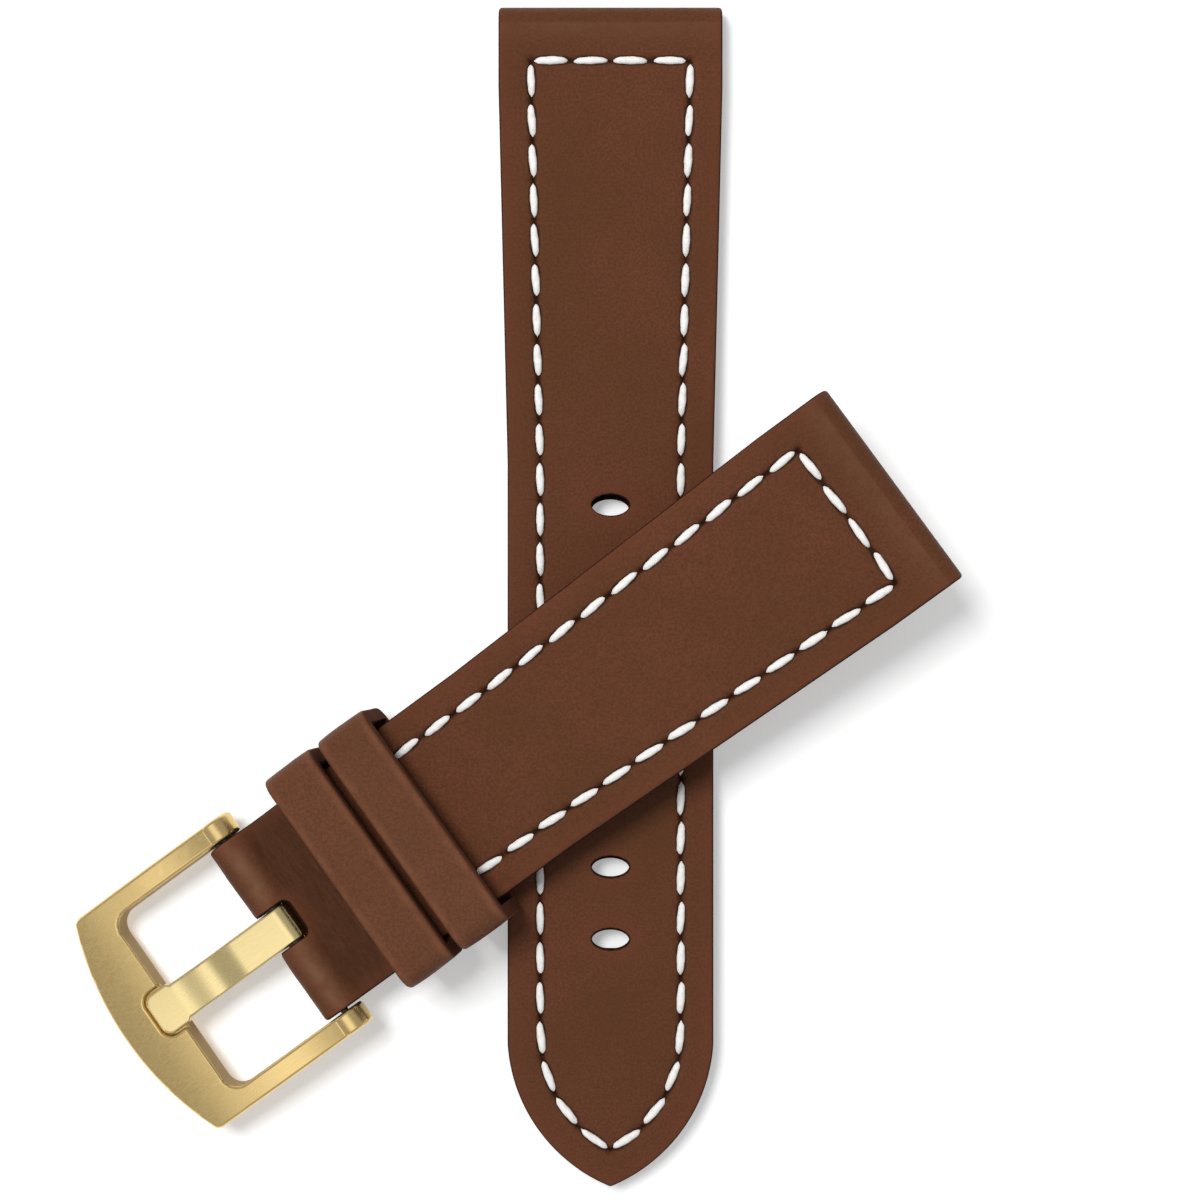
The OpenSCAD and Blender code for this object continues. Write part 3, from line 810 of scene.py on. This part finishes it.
def stitch(blank, length, r, seed):
    """One stitch along x: two twisted plies that dive into their holes."""
    piece = copy_of(blank)
    bulge = 1 + random.Random(seed).uniform(-STITCH_BULGE, STITCH_BULGE)
    for v in piece.data.vertices:
        t = v.co.z
        around = math.atan2(v.co.y, v.co.x)
        radius = math.hypot(v.co.x, v.co.y) * r * bulge * stitch_half(t)
        radius *= 1 + PLY_DEPTH * math.cos(2 * (around - t * PLY_TWIST))
        dive = -r * STITCH_DIVE * abs(t) ** 3.4
        z = radius * math.sin(around) * STITCH_FLATNESS + dive
        v.co = (t * length / 2, radius * math.cos(around), z)
    return piece


def thread(name, body, rows, r, z, side, place, node, gap=STITCH_GAP):
    """All the stitches of one thread, each with its own small differences."""
    chance = random.Random(name)
    blank = stitch_blank()
    made = []
    for row in rows:
        for a, b in zip(row, row[1:]):
            a, b = Vector(a), Vector(b)
            run = b - a
            centre = (a + b) / 2
            piece = stitch(blank, run.length - gap, r, len(made))
            turn = math.atan2(run.y, run.x) + chance.uniform(-STITCH_SWAY, STITCH_SWAY)
            turn -= math.copysign(STITCH_LEAN, a.y)
            rise = side * chance.uniform(-STITCH_RISE, STITCH_RISE)
            to_place = Matrix.Translation((centre.x, centre.y, z + rise)) @ Matrix.Rotation(turn, 4, "Z")
            piece.data.transform(to_place @ Matrix.Diagonal((1, 1, side, 1)))
            if side < 0:
                piece.data.flip_normals()
            made.append(piece)
    discard([blank])
    clear()
    for piece in made:
        piece.select_set(True)
    bpy.context.view_layer.objects.active = made[0]
    bpy.ops.object.join()
    piece = bpy.context.object
    settle(piece, place)
    return finished(piece, name, body, THREAD, [node], 60)


# Metal

def merge_arch(piece):
    """Dissolves the narrow faces across the front bar's arch, which rounding would fold over."""
    data = piece.data

    def across_arch(edge, a, b):
        middle = sum(data.vertices[i].co.x for i in edge.vertices) / 2
        return middle > FRONT_BAR_X and a.normal.z * b.normal.z > 0.86

    select_edges(piece, across_arch)
    bpy.ops.object.mode_set(mode="EDIT")
    bpy.ops.mesh.dissolve_edges(use_verts=False)
    done()


def round_edges(piece):
    """Rounds the sharp edges that stand out, and leaves those of its inner corners."""
    data = piece.data

    def stands_out(edge, a, b):
        start, end = edge.vertices
        around = list(a.vertices)
        if around[(around.index(start) + 1) % len(around)] != end:
            start, end = end, start
        along = data.vertices[end].co - data.vertices[start].co
        return a.normal.dot(b.normal) < 0.64 and a.normal.cross(b.normal).dot(along) > 0

    select_edges(piece, stands_out)
    weight = data.attributes.new("bevel_weight_edge", "FLOAT", "EDGE")
    for edge in data.edges:
        weight.data[edge.index].value = float(edge.select)
    use(piece, "BEVEL", width=FRAME_EDGE_R, segments=4, limit_method="WEIGHT", use_clamp_overlap=False)


def cut_across(piece):
    """Cuts a piece across at every millimetre, so that its shading can follow its arch."""
    edit(piece)
    for i in range(CUTS):
        bpy.ops.mesh.select_all(action="SELECT")
        bpy.ops.mesh.bisect(plane_co=(FIRST_CUT + i, 0, 0), plane_no=(1, 0, 0), threshold=0.0005)
    done()


def arch_normal(at):
    """The way out of the frame's upper face, which follows its arch and its rounded arms."""
    away = Vector((at.x - ARCH_X, 0, at.z - ARCH_Z)).normalized()
    arm = 1 - eased((at.x - 9) / 5)
    across = (abs(at.y) - (WINDOW_W + ARM_W) / 2) / (ARM_W / 2)
    away.y += math.copysign(ARM_ROUNDING * across * arm, at.y)
    away.x += FRONT_LEAN * eased((at.x - WINDOW_LEN) / 6) - ARM_LEAN * (1 - eased((at.x - 1) / 10))
    return away.normalized()


def brushed_frame():
    """A copy of the frame's solid with rounded edges, dull in its window with painted shade on the window's
    walls and less on its other walls, and smooth along its arch.
    """
    piece = copy_of(frame["nodes"]["buckle_frame"])
    piece.data.transform((ON_SHORT @ Matrix.Scale(MM, 4)).inverted())
    piece.data.transform(Matrix.Translation((-BAR_X, 0, 0)))
    edit(piece)
    bpy.ops.mesh.remove_doubles(threshold=0.002)
    bpy.ops.mesh.dissolve_limited(angle_limit=math.radians(0.1))
    done()
    merge_arch(piece)
    round_edges(piece)
    cut_across(piece)
    only(piece)
    bpy.ops.object.shade_smooth()
    use(piece, "WEIGHTED_NORMAL", weight=80)
    data = piece.data
    side = data.attributes.new("side", "FLOAT", "FACE")
    arched = {}
    for face in data.polygons:
        # Painted shade on the walls, full on those of the window and less on the outer walls
        upright = 1 - min(1.0, abs(face.normal.z) * 1.4)
        inside = abs(face.center.y) < WINDOW_W / 2 + 0.1 and face.center.x < WINDOW_LEN + 0.1
        side.data[face.index].value = upright * (1.0 if inside else 0.3)
        if abs(face.normal.z) > 0.93 and face.center.x > 0.3 and face.area > 0.5:
            for index in face.vertices:
                away = arch_normal(data.vertices[index].co)
                arched[index] = away if face.normal.z > 0 else -away
    normals = []
    for loop, corner in zip(data.loops, data.corner_normals):
        normals.append(arched.get(loop.vertex_index, Vector(corner.vector)))
    data.normals_split_custom_set(normals)
    piece.data.transform(Matrix.Translation((BAR_X, 0, 0)))
    settle(piece, ON_SHORT)
    return finished(piece, "buckle_frame_brushed", "buckle", GOLD, ["buckle_frame"], None)


def bent_tongue():
    """A strip of metal curled round the spring bar, with a dip on its way up to the pad at its tip."""
    pad = (PAD_START, PAD_TOP)
    level = (TONGUE_LEVEL, BAR_Z + CURL_R)
    points = bow(0, BAR_Z, CURL_R, 380, 90, 48) + [level] + sweep(level, 0, TONGUE_LOW, 0, 20)
    route = Route(points + sweep(TONGUE_LOW, 0, pad, 0, 20) + [(PAD_END, PAD_TOP)])
    fine = route.length - 1.0
    stations = spaced(0, fine, 0.12) + spaced(fine, route.length, 0.04) + [route.length]
    round_from = PAD_END - PAD_CORNER
    step_down = [(PAD_START - 0.2, TONGUE_T), (PAD_START + 0.2, PAD_T)]

    def half(x):
        if x > round_from:
            corner = math.sqrt(max(0.0, PAD_CORNER ** 2 - (x - round_from) ** 2))
            return PAD_W / 2 - PAD_CORNER + corner
        return TONGUE_W / 2 + (PAD_W - TONGUE_W) / 2 * eased((x - PAD_START) / 0.4)

    def depth(u, x):
        return between(step_down, x) if u > 9 else TONGUE_T

    def relief(x, y, u):
        short_of = max(0.0, TONGUE_END_R - max(0.0, route.length - u))
        rounding = TONGUE_END_R - math.sqrt(max(0.0, TONGUE_END_R ** 2 - short_of ** 2))
        return -rounding - TONGUE_CROWN * (y / 2) ** 2, 0.0, 0.0, 0.0

    piece = strip(route, stations, half, THIN_EDGE, 8, depth, relief, edge_r=TONGUE_EDGE_R)
    # Painted shade on the tongue's side faces
    side = piece.data.attributes.new("side", "FLOAT", "FACE")
    for face in piece.data.polygons:
        side.data[face.index].value = TONGUE_SIDE * abs(face.normal.y)
    piece.data.transform(Matrix.Translation((BAR_X, 0, 0)))
    settle(piece, ON_SHORT)
    return finished(
        piece, "buckle_tongue_brushed", "tongue", TONGUE_HIGHLIGHT_GOLD, ["buckle_tongue"], 50)


# Finishes

class Wire:
    """A socket that turns sums in Python into Math nodes."""

    def __init__(self, finish, socket):
        self.finish, self.socket = finish, socket

    def sum(self, operation, *values):
        """One Math node."""
        return self.finish.node("ShaderNodeMath", {"operation": operation}, *values)

    def __add__(self, other):
        return self.sum("ADD", self, other)

    def __radd__(self, other):
        return self.sum("ADD", other, self)

    def __sub__(self, other):
        return self.sum("SUBTRACT", self, other)

    def __rsub__(self, other):
        return self.sum("SUBTRACT", other, self)

    def __mul__(self, other):
        return self.sum("MULTIPLY", self, other)

    def __rmul__(self, other):
        return self.sum("MULTIPLY", other, self)

    def clamped(self):
        """Kept between 0 and 1."""
        return self.finish.node("ShaderNodeClamp", {}, self)

    def ramp(self, low, high, a=0.0, b=1.0):
        """Goes smoothly from a to b while this goes from low to high."""
        smooth = {"interpolation_type": "SMOOTHSTEP"}
        return self.finish.node("ShaderNodeMapRange", smooth, self, low, high, a, b)


class Nodes:
    """A node tree whose nodes are added one call at a time."""

    def __init__(self, tree):
        self.tree = tree

    def node(self, kind, settings, *values, out=0, **named):
        """Adds a node of this kind with its settings and its inputs, and gives one of its outputs."""
        node = self.tree.nodes.new(kind)
        for key, value in settings.items():
            setattr(node, key, value)
        inputs = dict(enumerate(values))
        inputs.update((key.replace("_", " "), value) for key, value in named.items())
        for key, value in inputs.items():
            socket = node.inputs[key]
            if isinstance(value, Wire):
                self.tree.links.new(value.socket, socket)
            else:
                socket.default_value = value
        return Wire(self, node.outputs[out])


class Finish(Nodes):
    """A material on the Principled shader."""

    def __init__(self, name, **fixed):
        self.material = bpy.data.materials.new(name)
        self.material.use_nodes = True
        super().__init__(self.material.node_tree)
        self.shader = self.tree.nodes["Principled BSDF"]
        for key, value in fixed.items():
            socket = key.replace("_", " ").title().replace("Ior", "IOR")
            self.shader.inputs[socket].default_value = value

    def place(self):
        """Where a point is in the frame."""
        return self.node("ShaderNodeTexCoord", {}, out=3)

    def turned(self, where):
        """The same place along, across and above the short half."""
        turn = tuple(ON_SHORT.to_euler("XYZ"))
        return self.node("ShaderNodeMapping", {"vector_type": "TEXTURE"}, where, Rotation=turn)

    def drawn_out(self, where, along, across, **settings):
        """Clouds drawn out into streaks: lower counts a metre along them than across."""
        scaled = self.node("ShaderNodeMapping", {}, where, Scale=(along, across, across))
        return self.cloud(scaled, 1.0, **settings)

    def attribute(self, name):
        """What a piece has marked on itself under this name."""
        return self.node("ShaderNodeAttribute", {"attribute_name": name}, out=2)

    def cloud(self, where, scale, detail=3.0, rough=0.5, warp=0.0):
        """Soft noise, with this many counts a metre."""
        return self.node(
            "ShaderNodeTexNoise", {},
            Vector=where, Scale=scale, Detail=detail, Roughness=rough, Distortion=warp)

    def cells(self, where, scale):
        """How far a point is from the borders of small cells."""
        return self.node("ShaderNodeTexVoronoi", {"feature": "DISTANCE_TO_EDGE"}, Vector=where, Scale=scale)

    def mix(self, share, a, b):
        """Colour a where share is 0, colour b where it is 1."""
        node = self.tree.nodes.new("ShaderNodeMix")
        node.data_type = "RGBA"
        for index, value in ((0, share), (6, a), (7, b)):
            if isinstance(value, Wire):
                self.tree.links.new(value.socket, node.inputs[index])
            else:
                node.inputs[index].default_value = value if index == 0 else (*value, 1)
        return Wire(self, node.outputs[2])

    def bump(self, height, distance, strength=1.0):
        """A normal tilted by this height, with a distance in metres."""
        return self.node("ShaderNodeBump", {}, Height=height, Distance=distance, Strength=strength)

    def feed(self, **inputs):
        """Joins what varies to the shader's inputs."""
        for key, value in inputs.items():
            self.tree.links.new(value.socket, self.shader.inputs[key.replace("_", " ")])
        return self.material


def shade(r, g, b):
    """A colour written as it looks on a screen, from 0 to 255."""
    def one(c):
        c /= 255
        return c / 12.92 if c <= 0.04045 else ((c + 0.055) / 1.055) ** 2.4
    return (one(r), one(g), one(b))


def darker(colour, share):
    """This share of a colour's brightness."""
    return [part * share for part in colour]


# Texture scales, in counts a metre
PATCHES = 75.0
MOTTLE = 480.0
FINE = 3800.0
GRAIN = 3600.0
CREASES = (2400, 500)
FIBRES = 2600.0
SOIL = 350.0
BRUSHED_LINES = (400, 14000)
BRUSHED_BANDS = (90, 500)


def leather_finish(name, base, light, dark, paint, pull_up_highlight, rough=0.5, worn=None):
    """Smooth oiled leather: soft mottling, very fine grain, dark paint on its cut edges."""
    f = Finish(name, Specular_Ior_Level=0.11)
    where = f.place()
    rim, seam, dip, bent = (f.attribute(n) for n in ("rim", "seam", "dip", "bent"))
    patches = f.cloud(where, PATCHES, 3.0, 0.55)
    mottle = f.cloud(where, MOTTLE, 4.0, 0.6)
    fine = f.cloud(where, FINE, 3.0, 0.6)
    creases = f.drawn_out(f.turned(where), *CREASES, detail=4.0, rough=0.6, warp=0.8)
    colour = f.mix(patches.ramp(0.32, 0.68), dark, light)
    colour = f.mix(mottle.ramp(0.35, 0.7, 0.35, 0.8), colour, base)
    colour = f.mix(fine.ramp(0.36, 0.64, 0.0, 0.7), colour, darker(dark, 0.84))
    # Painted highlight where the leather bends, lighter as pull-up leather is, in the pull-up highlight
    # colour
    colour = f.mix(bent * mottle.ramp(0.3, 0.6, 0.45, 0.95), colour, pull_up_highlight)
    # Painted shade in the dip of the tail, broken up by its creases
    dip_shade = dip.ramp(0.0, 1.0, 0.0, 0.72) * creases.ramp(0.3, 0.7, 0.8, 1.25)
    colour = f.mix(dip_shade, colour, darker(dark, 0.5))
    if worn:
        rubbed = rim.ramp(0.1, 0.4) * rim.ramp(0.45, 1.1, 1.0, 0.0) * mottle.ramp(0.35, 0.62, 0.35, 1.0)
        colour = f.mix(rubbed * 0.55, colour, worn)
    else:
        warmer = [base[0] * 1.12, base[1] * 0.98, base[2]]
        colour = f.mix(rim.ramp(0.2, 2.2, 0.35, 0.0), colour, warmer)
    # Painted shade along the stitches and round their needle holes, in the paint colour
    colour = f.mix(seam.ramp(0.05, 0.95, 0.0, 0.94), colour, paint)
    # The paint colour near the rim: paint on the cut edges and the walls of holes and slot, painted shade
    # on the inner faces seen through them
    painted = (rim + mottle * 0.1).ramp(0.1, 0.24, 1.0, 0.0)
    colour = f.mix(painted, colour, paint)
    grain = f.cells(where, GRAIN).ramp(0.0, 0.3)
    height = grain * 0.3 + mottle * 0.6 + fine * 0.5 + creases * (dip * 1.4 + 0.2)
    roughness = mottle.ramp(0.3, 0.7, rough - 0.05, rough + 0.08) - dip * 0.08 + painted * 0.55
    return f.feed(Base_Color=colour, Roughness=roughness, Normal=f.bump(height, 0.00005, 0.6))


def thread_finish():
    """White waxed thread, a little soiled."""
    f = Finish("waxed_thread", Roughness=0.62, Specular_Ior_Level=0.3)
    where = f.place()
    fibre = f.cloud(where, FIBRES, 3.0, 0.6)
    soil = f.cloud(where, SOIL, 2.0)
    colour = f.mix(fibre.ramp(0.3, 0.55), shade(243, 239, 231), shade(255, 254, 252))
    colour = f.mix(soil.ramp(0.55, 0.8, 0.0, 0.2), colour, shade(226, 216, 202))
    return f.feed(Base_Color=colour, Normal=f.bump(fibre, 0.00003, 0.5))


def brushed_finish(name, base, light, dark, rough):
    """Metal with fine lines along the short half, with painted shade on the faces marked as sides: duller,
    darker and more brown there.
    """
    f = Finish(name, Metallic=1.0)
    along = f.turned(f.place())
    lines = f.drawn_out(along, *BRUSHED_LINES, detail=3.0, rough=0.6)
    bands = f.drawn_out(along, *BRUSHED_BANDS, detail=2.0, rough=0.5)
    colour = f.mix(lines.ramp(0.3, 0.7), dark, light)
    colour = f.mix(bands.ramp(0.3, 0.7, 0.3, 0.75), colour, base)
    side = f.attribute("side").ramp(0.2, 0.95)
    # Painted shade: a dark brown gold on the faces marked as sides
    wall_shade_colour = [part * share for part, share in zip(dark, (0.36, 0.3, 0.2))]
    colour = f.mix(side * 0.8, colour, wall_shade_colour)
    roughness = lines.ramp(0.3, 0.7, rough - 0.04, rough + 0.06) + side * 0.25
    normal = f.bump(lines, 0.000002, 0.2)
    return f.feed(Base_Color=colour, Roughness=roughness, Metallic=1 - side * 0.4, Normal=normal)


def board_finish():
    """The stiffener's painted edge."""
    f = Finish("painted_edge", Specular_Ior_Level=0.1)
    mottle = f.cloud(f.place(), 500.0, 3.0)
    colour = f.mix(mottle.ramp(0.3, 0.7), shade(46, 28, 19), shade(64, 39, 27))
    roughness = mottle.ramp(0.3, 0.7, 0.86, 0.98)
    return f.feed(Base_Color=colour, Roughness=roughness, Normal=f.bump(mottle, 0.00008, 0.5))


LEATHER = leather_finish(
    "brown_leather",
    base=shade(102, 62, 42), light=shade(112, 64, 47), dark=shade(92, 57, 36),
    paint=shade(42, 24, 16), pull_up_highlight=shade(120, 84, 62))
LINING = leather_finish(
    "lining_leather",
    base=shade(122, 80, 56), light=shade(132, 90, 64), dark=shade(106, 66, 45),
    paint=shade(44, 26, 18), pull_up_highlight=shade(138, 98, 72), rough=0.62)
KEEPER_LEATHER = leather_finish(
    "keeper_leather",
    base=shade(107, 68, 48), light=shade(114, 70, 51), dark=shade(97, 61, 41),
    paint=shade(92, 56, 39), pull_up_highlight=shade(120, 84, 62), rough=0.45, worn=shade(126, 82, 58))
THREAD = thread_finish()
GOLD = brushed_finish(
    "brushed_gold",
    base=shade(236, 205, 140), light=shade(244, 216, 154), dark=shade(222, 188, 122), rough=0.28)
# The tongue's gold is lighter than the frame's: a painted highlight
TONGUE_HIGHLIGHT_GOLD = brushed_finish(
    "tongue_gold_painted_highlight",
    base=shade(243, 220, 160), light=shade(249, 231, 176), dark=shade(232, 204, 142), rough=0.26)
# Darker than bare steel: painted shade on the spring bar, which sits in shade between the leather and the
# buckle
SHADED_STEEL = brushed_finish(
    "turned_steel_shaded",
    base=shade(122, 118, 112), light=shade(140, 136, 130), dark=shade(96, 92, 86), rough=0.42)
EDGE_PAINT = board_finish()


# The strap's pieces

long_upper_leather()
long_lining_leather()
short_upper_leather()
short_lining_leather()
keeper("fixed_keeper_loop", "short_half", KEEPER_FIXED_X, LINING_T, "fixed_keeper", 2.0, FIXED_PADDING)
keeper("free_keeper_loop", "free_keeper", KEEPER_FREE_X, KEEPER_LOW, "free_keeper", 9.0, FREE_PADDING)
thread("long_needle_thread", "long_half", LONG_ROWS, NEEDLE_R, NEEDLE_Z, 1, ON_LONG, "long_top_thread")
thread("long_bobbin_thread", "long_half", LONG_ROWS, BOBBIN_R, BOBBIN_Z, -1, ON_LONG, "long_under_thread")
thread("short_needle_thread", "short_half", SHORT_ROWS, NEEDLE_R, NEEDLE_Z, 1, ON_SHORT, "short_top_thread")
thread("short_bobbin_thread", "short_half", SHORT_ROWS, BOBBIN_R, BOBBIN_Z, -1, ON_SHORT,
       "short_under_thread")
brushed_frame()
bent_tongue()

seam_x = [KEEPER_FREE_X + KEEPER_W * share for share in (0.25, 0.75)]
seam_rows = [[(x, -KEEPER_SEAM), (x, KEEPER_SEAM)] for x in seam_x]
thread(
    "free_keeper_seam", "free_keeper", seam_rows, SEAM_R, KEEPER_LOW + SEAM_R, -1, ON_SHORT,
    "free_keeper_thread", gap=0.0)

# The inner solids that are shown as they are
for name, material in (
        ("long_filler", EDGE_PAINT), ("short_filler", EDGE_PAINT),
        ("spring_bar_tube", SHADED_STEEL), ("spring_bar_tip_left", SHADED_STEEL),
        ("spring_bar_tip_right", SHADED_STEEL), ("spring_bar_spring", SHADED_STEEL)):
    node = frame["nodes"][name]
    node.data.materials.clear()
    node.data.materials.append(material)


# The table, the light and the camera

def table_top():
    """A white table, which glows a little towards the camera so that only soft shadows show on it."""
    clear()
    bpy.ops.mesh.primitive_plane_add(size=TABLE_W, location=(0, 0, 0))
    floor = bpy.context.object
    floor.name = "table"
    floor.data.transform(Matrix.Translation((CAMERA_X * MM, CAMERA_Y * MM, -FOLD_R * MM)))
    f = Finish("white_table", Roughness=0.9, Specular_Ior_Level=0.0)
    f.shader.inputs["Base Color"].default_value = (0.86, 0.86, 0.86, 1)
    white = Wire(f, f.shader.outputs[0])
    reach = f.node("ShaderNodeVectorMath", {"operation": "LENGTH"}, f.place(), out=1)
    glow = f.node("ShaderNodeEmission", {}, (1, 1, 1, 1), reach.ramp(0.2, 0.8, 0.33, 1.0))
    rays = f.node("ShaderNodeLightPath", {}).socket.node.outputs
    direct = Wire(f, rays["Is Camera Ray"]) + Wire(f, rays["Is Glossy Ray"])
    glowing = f.node("ShaderNodeAddShader", {}, white, glow)
    mixed = f.node("ShaderNodeMixShader", {}, direct.clamped(), white, glowing)
    f.tree.links.new(mixed.socket, f.tree.nodes["Material Output"].inputs["Surface"])
    floor.data.materials.append(f.material)


def key_light(middle):
    """The lamp above the upper left of the picture."""
    light = bpy.data.lights.new("key_light", "AREA")
    light.shape = "RECTANGLE"
    light.size = light.size_y = KEY_LIGHT_SIZE
    light.energy = KEY_LIGHT_WATTS
    lamp = bpy.data.objects.new("key_light", light)
    bpy.context.scene.collection.objects.link(lamp)
    lamp.location = middle + Vector(KEY_LIGHT_PLACE)
    lamp.rotation_euler = (middle - lamp.location).to_track_quat("-Z", "Y").to_euler()
    lamp.visible_glossy = False


def studio_room():
    """Soft light on everything, a bright panel in what mirrors it, and white behind it all."""
    world = bpy.data.worlds.new("studio")
    bpy.context.scene.world = world
    world.use_nodes = True
    room = Nodes(world.node_tree)
    background = room.tree.nodes["Background"]
    background.inputs["Color"].default_value = (1, 1, 1, 1)
    background.inputs["Strength"].default_value = SOFT_LIGHT
    rays = room.node("ShaderNodeLightPath", {}).socket.node.outputs
    direction = room.node("ShaderNodeTexCoord", {})
    height = room.node("ShaderNodeSeparateXYZ", {}, direction, out=2)
    toward = {"operation": "DOT_PRODUCT"}
    ceiling = room.node("ShaderNodeVectorMath", toward, direction, CEILING_PANEL, out=1)
    panels = ceiling.ramp(0.88, 0.99, 0.42, 1.3) + height.ramp(0.0, 0.35, 0.55, 0.0)
    mirrored = room.node("ShaderNodeBackground", {}, (1, 1, 1, 1), panels)
    backdrop = room.node("ShaderNodeBackground", {}, (1, 1, 1, 1), 1.0)
    soft_light = Wire(room, background.outputs[0])
    around = room.node("ShaderNodeMixShader", {}, Wire(room, rays["Is Glossy Ray"]), soft_light, mirrored)
    around = room.node("ShaderNodeMixShader", {}, Wire(room, rays["Is Camera Ray"]), around, backdrop)
    room.tree.links.new(around.socket, room.tree.nodes["World Output"].inputs["Surface"])


def photograph_camera():
    """Straight down, from where the photograph was taken."""
    eye = bpy.data.cameras.new("camera")
    eye.sensor_width = FILM_W
    eye.lens = FILM_W / 2 * CAMERA_FOCUS / PICTURE_HALF
    eye.clip_start = 0.01
    eye.clip_end = 20
    camera = bpy.data.objects.new("camera", eye)
    bpy.context.scene.collection.objects.link(camera)
    camera.location = (CAMERA_X * MM, CAMERA_Y * MM, (CAMERA_HEIGHT - FOLD_R) * MM)
    bpy.context.scene.camera = camera
    bpy.context.scene.view_settings.view_transform = "Standard"


table_top()
key_light(Vector((CAMERA_X * MM, CAMERA_Y * MM, 0)))
studio_room()
photograph_camera()

bpy.context.view_layer.update()
